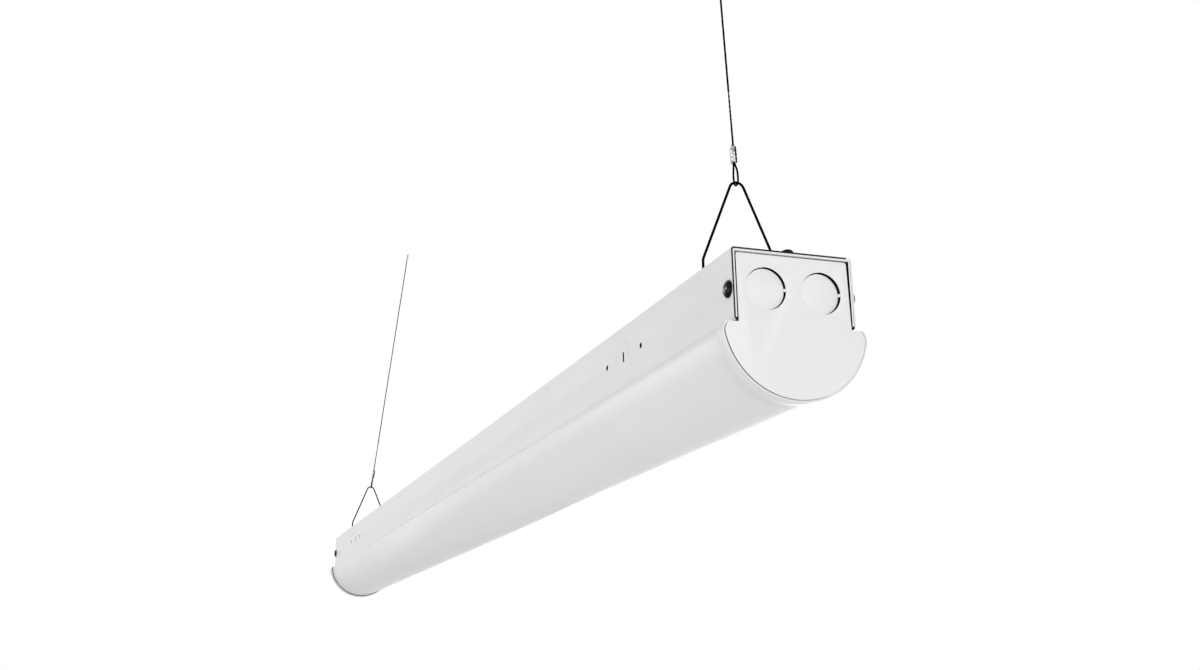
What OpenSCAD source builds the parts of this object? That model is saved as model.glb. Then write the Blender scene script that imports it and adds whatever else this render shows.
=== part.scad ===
// Hanging shop light, 4 ft: a folded steel housing with a round snap-in diffuser, two end caps,
// an LED tray with its driver, and two wire hooks with steel cables. Millimetres, +Z up.
// Origin: the ceiling plane where the cable stops sit, above the middle of the housing.
// The near end is at -Y, the far end at +Y.

/* [Housing] */
// Length over the two ends of the housing (4 ft)
length = 1219; // [1160:1:2438]
// Width over the sides
housing_w = 68; // [64:1:80]
// Height of the sides
housing_h = 38; // [36:1:48]
// Thickness of the folded steel sheet
sheet = 0.9; // [0.7:0.05:1.2]
// Inner radius of the long folds
fold_r = 0.8; // [0.5:0.1:1.5]
// Width of the bottom edges that are folded inwards
flange_w = 7; // [6:0.5:8]
// Length at each end where those edges are cut away for the end cap
flange_setback = 13; // [12:0.5:18]
// Depth of the doubled hem round each end
hem_depth = 9; // [8:0.5:12]
// How far the hem's inner layer sits back from the cut edge of the sheet
hem_back = 0.2; // [0.1:0.05:0.5]

/* [Diffuser] */
// How far the round diffuser swells past each side of the housing
bulge = 5; // [3:0.5:8]
// Height of the diffuser's round centre above the housing's bottom edge
diffuser_rise = 1.4; // [0:0.1:3]
// Wall of the frosted plastic
diffuser_wall = 1.4; // [1:0.1:2]
// Radius of the diffuser's two upper shoulders
shoulder_r = 5; // [4:0.25:6]
// Gap between diffuser and steel all round
diffuser_gap = 0.3; // [0.2:0.05:0.5]
// Overlap of the snap edge on the folded housing edge
snap_bite = 2.5; // [1.5:0.25:3]

/* [End caps] */
// Thickness of the pressed steel
cap_sheet = 0.9; // [0.7:0.05:1.2]
// How far the cap's face sits back from the end of the housing
cap_inset = 0.6; // [0.3:0.1:1.5]
// Depth of the skirt round the diffuser
skirt_depth = 8; // [6:0.5:12]
// Gap between the skirt and the diffuser
skirt_gap = 1.0; // [0.5:0.1:1.5]
// Depth of the three edges inside the housing
cap_edge = 11; // [9:0.5:12]
// Gap between those edges and the hem
cap_gap = 0.4; // [0.2:0.05:0.5]
// Width of the rolled lip outside the groove round the face
cap_lip = 0.6; // [0.5:0.05:1]
// Width of that groove
cap_groove_w = 0.4; // [0.3:0.05:0.6]
// Depth of that groove
cap_groove_depth = 0.4; // [0.2:0.05:0.5]

/* [Knockouts] */
// Diameter of every knockout (7/8 in trade size)
knockout_d = 22.2; // [20:0.1:24]
// Width of the sheared slit round an end cap's knockouts
knockout_slit = 0.5; // [0.3:0.05:0.8]
// How far an end cap's knockouts are pushed in
knockout_push = 0.8; // [0.4:0.1:1]
// Width of the slit round the housing's knockouts, which lie flush
flush_slit = 0.25; // [0.2:0.05:0.4]
// Width of the ties that hold a knockout
knockout_tie = 1.6; // [1.2:0.1:4]
// Half the distance between the two knockouts of an end cap
knockout_x = 15.5; // [14:0.1:16]
// Depth of the end cap's knockouts below the top face
knockout_z = 20.3; // [18:0.1:22]
// Distance of the side knockouts from the end
side_knockout_y = 151; // [120:1:200]
// Depth of the side knockouts below the top face
side_knockout_z = 19.3; // [17:0.1:21]
// Distance of a small side hole from its knockout's centre
side_hole_pitch = 28; // [20:0.5:40]
// Diameter of the small side holes
side_hole_d = 3.3; // [2.5:0.1:4.5]
// Length of the pry slot in a side knockout
pry_slot_len = 6; // [4:0.5:8]
// Width of the pry slot in a side knockout
pry_slot_w = 2.1; // [1.5:0.1:3]

/* [Top face] */
// Distance of the ceiling screw holes from each end
ceiling_hole_y = 203; // [180:1:260]
// Diameter of the ceiling screw holes
ceiling_hole_d = 6.5; // [4:0.1:8]

/* [Screws] */
// Distance of the end cap screws from the end
cap_screw_y = 5; // [4:0.25:7]
// Depth of the side screws below the top face
cap_screw_z = 21; // [15:0.5:24]
// Thread diameter of the side screws (No. 8)
cap_screw_d = 4.2; // [3.5:0.1:5]
// Diameter of the side screws' pan heads
cap_screw_head_d = 9; // [8:0.1:9.5]
// Thread diameter of the top screws (No. 6)
top_screw_d = 3.5; // [3:0.1:4.2]
// Diameter of the top screws' pan heads
top_screw_head_d = 6.5; // [5.5:0.1:8]
// Thread diameter of the small inner screws
inner_screw_d = 3; // [2.5:0.1:4]

/* [Wire hooks] */
// Distance of a hook from the end of the housing
hook_y = 58; // [40:1:100]
// Diameter of the hook's spring wire
hook_wire = 1.5; // [1.2:0.1:2.4]
// Height of the wire's centre at the top of the hook above the housing
hook_h = 60; // [50:1:80]
// Half the distance between the hook's two legs
hook_x = 22.5; // [18:0.5:24]
// Slope of the upper legs from upright
hook_slope = 22.5; // [20:0.5:25]
// Centreline radius of the hook's top bend
hook_bend_r = 4.5; // [4:0.25:6]
// Centreline radius of the bends at the knees
hook_knee_r = 6; // [4:0.5:8]
// Length of each foot under the top face
hook_foot = 6.5; // [5:0.25:7]
// Play between the wire and what it passes
hook_play = 0.25; // [0.2:0.05:0.5]
// How far a hook tips each way in its slots
hook_tip = 60; // [30:1:60]

/* [Cables] */
// Height of the ceiling plane above the housing
hang = 384; // [250:1:1500]
// Diameter of the steel cable
cable_d = 1.2; // [1:0.1:1.5]
// Lean of the near cable from plumb, towards +X
near_lean = -2; // [-10:0.5:10]
// Lean of the far cable from plumb, towards +X
far_lean = 7.5; // [-10:0.5:10]
// Length of the crimp sleeve
crimp_len = 9.8; // [8:0.1:11]
// Wall of the crimp sleeve
crimp_wall = 1.15; // [0.5:0.05:1.3]
// Length of the stop at a cable's top
stop_len = 8; // [6:0.5:12]
// Diameter of that stop
stop_d = 2.5; // [2.2:0.1:4]

/* [LED tray] */
// Thickness of the tray's sheet
tray_sheet = 0.7; // [0.5:0.05:1]
// Height of the tray's side edges
tray_edge_h = 4.5; // [4:0.25:7]
// Width of an LED board
board_w = 24; // [18:1:30]
// Thickness of an LED board
board_t = 1.6; // [1:0.1:2]
// Gap between the two LED boards
board_gap = 8; // [4:0.5:20]
// Distance from one LED to the next
led_pitch = 24; // [18:0.5:50]
// Width, length and height of an LED
led_size = [2.8, 3.5, 0.7];
// Distance from a ceiling screw hole to the tray bracket beside it, towards the end
bracket_beside = 13; // [8:1:30]
// Width of a tray bracket
bracket_w = 50; // [46:1:56]
// Thickness of a tray bracket
bracket_t = 1.2; // [0.9:0.1:1.5]

/* [Driver] */
// Length of the driver's case
driver_len = 230; // [180:1:260]
// Width of the driver's case
driver_w = 32; // [28:1:38]
// Height of the driver's case
driver_h = 22; // [20:0.5:25]
// Sheet of the driver's case
driver_sheet = 0.8; // [0.5:0.05:1]
// Distance of the driver's case from the middle of the light
driver_from_middle = 100; // [80:1:110]
// Distance from the near tray bracket to the supply terminal
terminal_from_bracket = 70; // [60:1:80]
// Width, length and height of the supply terminal
terminal_size = [26, 16, 14];
// Diameter of the insulated inner leads
lead_d = 1.6; // [1.2:0.1:2]

/* [Hidden] */
$fn = 64;

STEEL_WHITE = "white";
SPRING_STEEL = "dimgray";
ZINC = "silver";

// Slack added to a cutter so that it passes right through
cut = 1;
half_l = length / 2;
half_w = housing_w / 2;

// Diffuser outline: a round below and a shoulder arc each side, all grown alike for the end cap
diffuser_r = half_w + bulge;
round_z = diffuser_rise - housing_h;
shoulder_z = -(housing_h + diffuser_gap + shoulder_r);
shoulder_x = sqrt(pow(diffuser_r - shoulder_r, 2) - pow(round_z - shoulder_z, 2));
shoulder_dip = (round_z - shoulder_z) / (diffuser_r - shoulder_r);
snap_x = half_w - flange_w - diffuser_gap;
snap_z = -(housing_h - sheet - diffuser_gap);
snap_t = 1.2;

// End cap: the neck passes between the housing's sides, the skirt goes round the diffuser
cap_back = cap_inset + cap_sheet;
cap_half_w = half_w - 2 * sheet - cap_gap;
cap_top_z = -(2 * sheet + cap_gap);
cap_edge_z = snap_z;
cap_neck_z = -(housing_h + cap_gap);
cap_corner_r = 1.2;
hem_z = -(housing_h - fold_r - sheet);
tie_nick = 0.15;

// Screws
cap_screw_len = 8;
cap_screw_head_h = 2.6;
top_screw_len = 6;
top_screw_head_h = 3.1;
thread_play = 0.1;
clear_play = 0.4;
small_head_d = 1.8 * inner_screw_d;
small_head_h = 0.6 * inner_screw_d;

// Wire hook: its feet turn on one line under the top face, and the wire is bent by arcs
wire_r = hook_wire / 2;
wire_short = 0.05;
wire_ball_d = 1.02 * hook_wire;
foot_z = -(sheet + hook_play + wire_r);
foot_bend_r = 2;
top_bend_z = hook_h - hook_bend_r;
leg_top = [hook_bend_r * cos(hook_slope), top_bend_z + hook_bend_r * sin(hook_slope)];
knee_z = leg_top[1] - (hook_x - leg_top[0]) / tan(hook_slope);
knee_low = [hook_x, knee_z - hook_knee_r * tan(hook_slope / 2)];
knee_high = knee_low + hook_knee_r * [cos(hook_slope) - 1, sin(hook_slope)];
slot_w = hook_wire + 4 * hook_play;
slot_l = 2 * (abs(foot_z) * tan(hook_tip) + wire_r / cos(hook_tip) + hook_play);

// Cable: [y, z] from the centre of the hook's top bend, z up along the cable. The tail end comes
// first, goes down through the crimp sleeve, round the hook's wire and up to the stop.
cable_r = cable_d / 2;
crimp_z = 16.3;
tail_y = 1.4;
cable_route = [
    [1.4, 27.3], [1.4, 22], [1.4, 16.3], [1.75, 14.2], [2.25, 12], [2.6, 9.8], [2.65, 7.6],
    [2.5, 5.4], [2.15, 4.2], [1.25, 3.3], [0, 2.95], [-1.25, 3.3], [-2.15, 4.2], [-2.5, 5.4],
    [-2.65, 7.6], [-2.5, 9.8], [-1.9, 12], [-0.85, 14.2], [0, 16.5], [0, 26], [0, 60]
];

// Tray: its side edges stand on the folded bottom edges of the housing
tray_top = -(housing_h - sheet - tray_edge_h);
tray_floor = tray_top - tray_sheet;
tray_half_w = half_w - sheet - 2;
tray_half_l = half_l - flange_setback - 1;

// LED boards, end to end under the tray
board_start = board_gap / 2;
board_end = tray_half_l - 10;
board_floor = tray_floor - board_t;
led_count = floor((board_end - board_start - led_pitch / 2) / led_pitch) + 1;
board_screw_count = 4;
connector_w = 7;
connector_l = 9;
connector_h = 4;
connector_x = 7;
input_y = -(board_start + led_pitch - 4);
link_y = board_start + 8;

// Tray brackets: a foot under the top face, an upright, and a foot on the tray
bracket_y = half_l - ceiling_hole_y + bracket_beside;
bracket_foot = 16;
bracket_screw_x = 19;
bracket_screw_y = 9;
bracket_window_w = 34;
bracket_window_margin = 8;

// Driver, supply terminal and leads, on top of the tray near the near end
driver_y = -(driver_from_middle + driver_len / 2);
driver_ear = 11;
driver_floor = tray_top + driver_sheet;
driver_top = tray_top + driver_h;
driver_post_h = 3;
circuit_t = 1.6;
circuit_top = driver_floor + driver_post_h + circuit_t;
circuit_half_l = driver_len / 2 - 4;
circuit_half_w = driver_w / 2 - driver_sheet - 2;
choke_d = 18;
choke_bore_d = 8;
choke_h = 7;
choke_from_block = 24;
capacitor_d = 12;
capacitor_h = 13;
capacitor_y = [-38, 48];
transformer_w = 22;
transformer_l = 28;
transformer_h = 13;
heat_sink_x = -10;
heat_sink_t = 1.5;
heat_sink_y = 30;
heat_sink_l = 40;
heat_sink_h = 12;
lead_block_back = 14;
post_back = 16;
post_d = 4;
lead_block_w = 12;
lead_block_l = 8;
lead_block_h = 8;
lead_gap = 2.2;
lead_z = circuit_top + lead_block_h / 2;
lead_window = 9;
terminal_y = -(bracket_y + terminal_from_bracket);
terminal_port_x = 8;
terminal_port_z = tray_top + terminal_size[2] / 2;
terminal_port_depth = 4;
peg_d = 3;
grommet_hole_d = 8;
grommet_lip = 1.5;
grommet_from_board = 1;
grommet_x = board_w / 2 + grommet_from_board + grommet_lip + grommet_hole_d / 2;
grommet_y = -40;
grommet_lip_t = 1.2;
grommet_bore_d = 5;
ground_x = -18;
ground_y = terminal_y + 45;
ring_d = 7.5;
ring_t = 0.8;
barrel_d = 2.6;
barrel_l = 6;

// ---------- shared shapes ----------

// Heights below are measured from the housing's top face, so the whole light is let down
module below_ceiling() {
    translate([0, 0, -hang])
        children();
}

// Children are drawn for the near end, with y counted inwards from the end of the housing
module at_near_end() {
    translate([0, -half_l, 0])
        children();
}

module at_far_end() {
    rotate([0, 0, 180])
        at_near_end()
            children();
}

module at_both_ends() {
    at_near_end() children();
    at_far_end() children();
}

module both_sides() {
    children();
    mirror([1, 0, 0]) children();
}

// Runs a section drawn as [x, z] along Y
module along_y(y0, y1) {
    translate([0, y1, 0])
        rotate([90, 0, 0])
            linear_extrude(y1 - y0)
                children();
}

module block(x, y, z) {
    translate([x[0], y[0], z[0]])
        cube([x[1] - x[0], y[1] - y[0], z[1] - z[0]]);
}

// The same flat strip on the left and the right of a section
module two_strips(x0, x1, z0, z1) {
    for (left = [-x1, x0])
        translate([left, z0]) square([x1 - x0, z1 - z0]);
}

module rounded_square(half, z0, z1, r) {
    translate([-half + r, z0]) square([2 * (half - r), z1 - z0]);
    translate([-half, z0 + r]) square([2 * half, z1 - z0 - 2 * r]);
    for (x = [-half + r, half - r], z = [z0 + r, z1 - r])
        translate([x, z]) circle(r);
}

// The diffuser's outline grown by g, with a flat top between the shoulders
module diffuser_outline(g) {
    meet_z = shoulder_z - (shoulder_r + g) * shoulder_dip;
    top = shoulder_z + shoulder_r + g;
    intersection() {
        translate([0, round_z]) circle(diffuser_r + g, $fn = 180);
        translate([-2 * diffuser_r, meet_z - 3 * diffuser_r]) square([4 * diffuser_r, 3 * diffuser_r]);
    }
    translate([-shoulder_x, meet_z - shoulder_r]) square([2 * shoulder_x, top - meet_z + shoulder_r]);
    for (side = [-1, 1])
        translate([side * shoulder_x, shoulder_z]) circle(shoulder_r + g);
}

// Straight and bent stretches of hook wire in the XZ plane. Each stops a hair short of its ends,
// and a ball joins it to the next.
module wire_rod(from, to) {
    run = to - from;
    translate([from[0], 0, from[1]])
        rotate([0, atan2(run[0], run[1]), 0])
            translate([0, 0, wire_short])
                cylinder(h = norm(run) - 2 * wire_short, d = hook_wire);
}

module wire_arc(centre, r, from, to) {
    short = wire_short / r * 180 / PI;
    translate([centre[0], 0, centre[1]])
        rotate([90, 0, 0])
            rotate([0, 0, from + short])
                rotate_extrude(angle = to - from - 2 * short)
                    translate([r, 0]) circle(d = hook_wire);
}

module wire_ball(at) {
    translate([at[0], 0, at[1]]) sphere(d = wire_ball_d);
}

// Screws point down, with the seat of the head at z = 0
module pan_screw(d, len, head_d, head_h) {
    translate([0, 0, -len]) cylinder(h = len, d = d);
    difference() {
        intersection() {
            cylinder(h = head_h, d = head_d);
            translate([0, 0, head_h - head_d * 0.75]) sphere(d = head_d * 1.5);
        }
        for (turn = [0, 90])
            rotate([0, 0, turn])
                translate([0, 0, head_h])
                    cube([head_d * 0.55, head_d * 0.14, head_h], center = true);
    }
}

module small_screw(len) {
    pan_screw(inner_screw_d, len, small_head_d, small_head_h);
}

// A tube of 8 sides through a list of points, each ring square to its neighbours' line
function unit(v) = v / norm(v);
function heading(path, i) = unit(path[min(i + 1, len(path) - 1)] - path[max(i - 1, 0)]);
function first_side(v) = unit(cross(v, abs(v[0]) < 0.9 ? [1, 0, 0] : [0, 0, 1]));
function sides_along(path, i = 0, sides = []) =
    i == len(path) ? sides :
    let (v = heading(path, i), last = i == 0 ? first_side(v) : sides[i - 1])
    sides_along(path, i + 1, concat(sides, [unit(last - v * (last * v))]));

module tube(path, d) {
    n = 8;
    rings = len(path);
    sides = sides_along(path);
    points = [
        for (i = [0 : rings - 1], k = [0 : n - 1])
            let (v = heading(path, i), a = sides[i], b = cross(v, a))
            path[i] + d / 2 * (a * cos(360 * k / n) + b * sin(360 * k / n))
    ];
    walls = [
        for (i = [0 : rings - 2], k = [0 : n - 1])
            let (low = i * n, high = low + n, next = (k + 1) % n)
            [low + k, low + next, high + next, high + k]
    ];
    triangles = [for (w = walls, t = [[w[0], w[2], w[1]], [w[0], w[3], w[2]]]) t];
    start = [for (k = [1 : n - 2]) [0, k, k + 1]];
    last = (rings - 1) * n;
    end = [for (k = [1 : n - 2]) [last, last + k + 1, last + k]];
    polyhedron(points, concat(triangles, start, end), convexity = 6);
}

// Corners cut twice, so that a lead's few points become a soft bend
function softer(p) = concat(
    [p[0]],
    [for (i = [0 : len(p) - 2], t = [0.25, 0.75])
        if (!(i == 0 && t < 0.5) && !(i == len(p) - 2 && t > 0.5)) p[i] * (1 - t) + p[i + 1] * t],
    [p[len(p) - 1]]
);

module lead(points) {
    tube(softer(softer(points)), lead_d);
}

// ---------- housing ----------

// Closed ring of folded sheet whose outside is inset from the housing's
module folded_ring(inset, bottom, corner) {
    difference() {
        rounded_square(half_w - inset, bottom, -inset, corner);
        rounded_square(half_w - inset - sheet, bottom + sheet, -inset - sheet, max(corner - sheet, 0.2));
    }
}

module channel_section() {
    difference() {
        folded_ring(0, -housing_h, fold_r + sheet);
        translate([-half_w + flange_w, -housing_h - cut])
            square([housing_w - 2 * flange_w, sheet + 2 * cut]);
    }
}

module end_hem() {
    along_y(hem_back, hem_depth)
        intersection() {
            folded_ring(sheet, -2 * housing_h, fold_r);
            translate([-half_w, hem_z]) square([housing_w, housing_h]);
        }
}

module side_hole(y, z, d, depth) {
    translate([-half_w - cut, y, z])
        rotate([0, 90, 0])
            cylinder(h = depth + 2 * cut, d = d);
}

// Everything cut at one end: screw holes, hook slots, side holes and the ends of the bottom edges
module end_cuts() {
    block([-half_w + sheet, half_w - sheet], [-cut, flange_setback], [-housing_h - cut, hem_z]);
    both_sides() {
        side_hole(cap_screw_y, -cap_screw_z, cap_screw_d + clear_play, 2 * sheet);
        side_hole(side_knockout_y, -side_knockout_z, knockout_d, sheet);
        for (step = [-side_hole_pitch, side_hole_pitch])
            side_hole(side_knockout_y + step, -side_knockout_z, side_hole_d, sheet);
        translate([hook_x, hook_y, 0])
            cube([slot_w, slot_l, 4 * sheet], center = true);
    }
    translate([0, cap_screw_y, -2 * sheet - cut])
        cylinder(h = 2 * sheet + 2 * cut, d = top_screw_d + clear_play);
    translate([0, ceiling_hole_y, -sheet - cut])
        cylinder(h = sheet + 2 * cut, d = ceiling_hole_d);
}

// A knockout disc pushed in along -Z from a sheet whose outer face is at z = 0, with its two
// ties, which the shears have nicked on both faces
module knockout_disc(t, slit, push) {
    translate([0, 0, -push - t])
        cylinder(h = t, d = knockout_d - 2 * slit);
    for (side = [-1, 1])
        translate([side * knockout_d / 2, 0, -(t + push) / 2])
            cube([4 * slit, knockout_tie, t + push - 2 * tie_nick], center = true);
}

module side_disc() {
    translate([-half_w, side_knockout_y, -side_knockout_z])
        rotate([90, 0, -90])
            difference() {
                knockout_disc(sheet, flush_slit, 0);
                cube([pry_slot_w, pry_slot_len, 8 * sheet], center = true);
            }
}

module channel() {
    color(STEEL_WHITE) below_ceiling() {
        difference() {
            union() {
                along_y(-half_l, half_l) channel_section();
                at_both_ends() end_hem();
            }
            at_both_ends() end_cuts();
            translate([0, 0, -sheet - cut])
                cylinder(h = sheet + 2 * cut, d = knockout_d);
            translate([ground_x, ground_y, -sheet - cut])
                cylinder(h = sheet + 2 * cut, d = inner_screw_d + 2 * thread_play);
        }
        knockout_disc(sheet, flush_slit, 0);
        at_both_ends() both_sides() side_disc();
    }
}

// Frosted plastic: the round, and two snap edges that hook over the folded edges of the housing
module diffuser() {
    color("whitesmoke") below_ceiling()
        along_y(-half_l + cap_back + diffuser_gap, half_l - cap_back - diffuser_gap) {
            difference() {
                diffuser_outline(0);
                diffuser_outline(-diffuser_wall);
                translate([-snap_x + diffuser_wall, -housing_h - 2 * diffuser_wall])
                    square([2 * (snap_x - diffuser_wall), housing_h]);
            }
            two_strips(snap_x - diffuser_wall, snap_x,
                -housing_h - diffuser_gap - diffuser_wall, snap_z + snap_t);
            two_strips(snap_x - diffuser_wall, snap_x + snap_bite, snap_z, snap_z + snap_t);
        }
}

// ---------- end caps ----------

module cap_neck(g) {
    intersection() {
        rounded_square(cap_half_w - g, -2 * housing_h, cap_top_z - g, cap_corner_r - 0.5 * g);
        translate([-half_w, cap_neck_z - cut]) square([housing_w, housing_h + cut]);
    }
}

module below_neck() {
    intersection() {
        children();
        translate([-2 * half_w, cap_neck_z - 3 * half_w]) square([4 * half_w, 3 * half_w]);
    }
}

// Groove pressed into the face along the skirt, from one shoulder round to the other
module cap_groove() {
    inner = skirt_gap + cap_sheet - cap_lip;
    along_y(cap_inset - cut, cap_inset + cap_groove_depth)
        difference() {
            below_neck()
                difference() {
                    diffuser_outline(inner);
                    diffuser_outline(inner - cap_groove_w);
                }
            translate([-cap_half_w, shoulder_z]) square([2 * cap_half_w, housing_h]);
        }
}

module cap_plate() {
    along_y(cap_inset, cap_back) {
        cap_neck(0);
        below_neck() diffuser_outline(skirt_gap + cap_sheet);
    }
}

module cap_skirt() {
    along_y(cap_inset, cap_inset + skirt_depth)
        below_neck()
            difference() {
                diffuser_outline(skirt_gap + cap_sheet);
                diffuser_outline(skirt_gap);
            }
}

module cap_edges() {
    along_y(cap_inset, cap_inset + cap_edge)
        intersection() {
            difference() {
                cap_neck(0);
                cap_neck(cap_sheet);
            }
            translate([-half_w, cap_edge_z]) square([housing_w, housing_h]);
        }
}

module end_cap() {
    color(STEEL_WHITE) {
        difference() {
            union() {
                cap_plate();
                cap_skirt();
                cap_edges();
            }
            for (x = [-knockout_x, knockout_x])
                translate([x, cap_inset - cut, -knockout_z])
                    rotate([-90, 0, 0])
                        cylinder(h = cap_sheet + 2 * cut, d = knockout_d);
            cap_groove();
            both_sides()
                side_hole(cap_screw_y, -cap_screw_z, cap_screw_d + 2 * thread_play, 4 * sheet);
            translate([0, cap_screw_y, cap_top_z - cap_sheet - cut])
                cylinder(h = cap_sheet + 2 * cut, d = top_screw_d + 2 * thread_play);
        }
        for (x = [-knockout_x, knockout_x])
            translate([x, cap_inset, -knockout_z])
                rotate([90, 0, 0])
                    knockout_disc(cap_sheet, knockout_slit, knockout_push);
    }
}

module near_end_cap() { below_ceiling() at_near_end() end_cap(); }
module far_end_cap() { below_ceiling() at_far_end() end_cap(); }

module cap_screws() {
    color(SPRING_STEEL)
        both_sides()
            translate([-half_w, cap_screw_y, -cap_screw_z])
                rotate([0, -90, 0])
                    pan_screw(cap_screw_d, cap_screw_len, cap_screw_head_d, cap_screw_head_h);
}

module near_cap_screws() { below_ceiling() at_near_end() cap_screws(); }
module far_cap_screws() { below_ceiling() at_far_end() cap_screws(); }

module top_screw() {
    color(SPRING_STEEL)
        translate([0, cap_screw_y, 0])
            pan_screw(top_screw_d, top_screw_len, top_screw_head_d, top_screw_head_h);
}

module near_top_screw() { below_ceiling() at_near_end() top_screw(); }
module far_top_screw() { below_ceiling() at_far_end() top_screw(); }

// ---------- LED tray ----------

// Places a child at the four bracket screws, on the underside of the tray
module at_bracket_screws() {
    for (end = [-1, 1], x = [-bracket_screw_x, bracket_screw_x])
        translate([x, end * (bracket_y - bracket_screw_y), tray_floor])
            children();
}

module led_tray() {
    color(STEEL_WHITE) below_ceiling()
        difference() {
            along_y(-tray_half_l, tray_half_l) {
                translate([-tray_half_w, tray_floor]) square([2 * tray_half_w, tray_sheet]);
                two_strips(tray_half_w - tray_sheet, tray_half_w, tray_top - tray_edge_h, tray_top);
            }
            at_bracket_screws()
                translate([0, 0, -cut]) cylinder(h = tray_sheet + 2 * cut, d = inner_screw_d + clear_play);
            at_board_screws()
                translate([0, 0, -cut])
                    cylinder(h = board_t + tray_sheet + 2 * cut, d = inner_screw_d + 2 * thread_play);
            at_driver_screws()
                translate([0, 0, -driver_sheet - tray_sheet - cut])
                    cylinder(h = 2 * tray_sheet + 2 * cut, d = inner_screw_d + 2 * thread_play);
            at_terminal_pegs()
                translate([0, 0, -tray_sheet - cut])
                    cylinder(h = tray_sheet + 2 * cut, d = peg_d + 2 * thread_play);
            translate([grommet_x, grommet_y, tray_floor - cut])
                cylinder(h = tray_sheet + 2 * cut, d = grommet_hole_d + 2 * thread_play);
        }
}

module tray_bracket() {
    across = [-bracket_w / 2, bracket_w / 2];
    color(ZINC)
        difference() {
            union() {
                block(across, [-bracket_foot, 0], [-sheet - bracket_t, -sheet]);
                block(across, [-bracket_t, 0], [tray_top, -sheet]);
                block(across, [-bracket_t, bracket_foot], [tray_top, tray_top + bracket_t]);
            }
            block([-bracket_window_w / 2, bracket_window_w / 2], [-bracket_t - cut, cut],
                [tray_top + bracket_t + 2, -sheet - bracket_window_margin]);
            for (x = [-bracket_screw_x, bracket_screw_x])
                translate([x, bracket_screw_y, tray_top - cut])
                    cylinder(h = bracket_t + 2 * cut, d = inner_screw_d + 2 * thread_play);
        }
}

module near_tray_bracket() { below_ceiling() translate([0, -bracket_y, 0]) tray_bracket(); }
module far_tray_bracket() { rotate([0, 0, 180]) near_tray_bracket(); }

module tray_screws() {
    color(ZINC) below_ceiling()
        at_bracket_screws()
            rotate([180, 0, 0]) small_screw(tray_sheet + bracket_t + 1);
}

// ---------- LED boards ----------

function board_screw_y(k) =
    board_start + led_pitch * (1 + round(k * (led_count - 2) / (board_screw_count - 1)));

// Places a child at the board screws, on the underside of the boards
module at_board_screws() {
    for (end = [-1, 1], k = [0 : board_screw_count - 1])
        translate([0, end * board_screw_y(k), board_floor])
            children();
}

module led_board(end) {
    color("white") below_ceiling()
        difference() {
            translate([-board_w / 2, end < 0 ? -board_end : board_start, board_floor])
                cube([board_w, board_end - board_start, board_t]);
            at_board_screws()
                translate([0, 0, -cut])
                    cylinder(h = board_t + 2 * cut, d = inner_screw_d + 2 * thread_play);
        }
}

module leds(end) {
    color("khaki") below_ceiling()
        for (i = [0 : led_count - 1])
            translate([
                -led_size[0] / 2,
                end * (board_start + led_pitch * (i + 0.5)) - led_size[1] / 2,
                board_floor - led_size[2]
            ])
                cube(led_size);
}

module near_led_board() { led_board(-1); }
module far_led_board() { led_board(1); }
module near_leds() { leds(-1); }
module far_leds() { leds(1); }

module board_screws() {
    color(ZINC) below_ceiling()
        at_board_screws()
            rotate([180, 0, 0]) small_screw(board_t + tray_sheet);
}

module board_connectors() {
    color("ivory") below_ceiling()
        for (at = [[connector_x, input_y], [-connector_x, -link_y], [-connector_x, link_y]])
            block([at[0] - connector_w / 2, at[0] + connector_w / 2],
                [at[1] - connector_l / 2, at[1] + connector_l / 2],
                [board_floor - connector_h, board_floor]);
}

// Two leads that carry the current from one board to the next
module board_jumper() {
    face = link_y - connector_l / 2;
    dip = board_floor - connector_h / 2;
    color("tomato") below_ceiling()
        for (x = [-connector_x - 1.5, -connector_x + 1.5])
            tube([[x, -face, dip], [x, -1, dip], [x, 1, dip], [x, face, dip]], lead_d);
}

// ---------- driver ----------

// Places a child at the two screws of the driver's ears, on top of the ears
module at_driver_screws() {
    for (end = [-1, 1])
        translate([0, driver_y + end * (driver_len + driver_ear) / 2, driver_floor])
            children();
}

module driver_base() {
    across = [-driver_w / 2, driver_w / 2];
    reach = driver_len / 2 + driver_ear;
    color(ZINC) below_ceiling() {
        difference() {
            block(across, [driver_y - reach, driver_y + reach], [tray_top, driver_floor]);
            at_driver_screws()
                translate([0, 0, -driver_sheet - cut])
                    cylinder(h = driver_sheet + 2 * cut, d = inner_screw_d + clear_play);
        }
        for (end = [-1, 1], x = [-circuit_half_w + 3, circuit_half_w - 3])
            translate([x, driver_y + end * (circuit_half_l - post_back), driver_floor])
                cylinder(h = driver_post_h, d = post_d);
    }
}

module driver_cover() {
    across = [-driver_w / 2, driver_w / 2];
    reach = driver_len / 2;
    color("white") below_ceiling()
        difference() {
            block(across, [driver_y - reach, driver_y + reach], [driver_floor, driver_top]);
            block([-driver_w / 2 + driver_sheet, driver_w / 2 - driver_sheet],
                [driver_y - reach + driver_sheet, driver_y + reach - driver_sheet],
                [driver_floor - cut, driver_top - driver_sheet]);
            block([-lead_window / 2, lead_window / 2],
                [driver_y - reach - cut, driver_y + reach + cut],
                [lead_z - lead_window / 4, lead_z + lead_window / 4]);
        }
}

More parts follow.
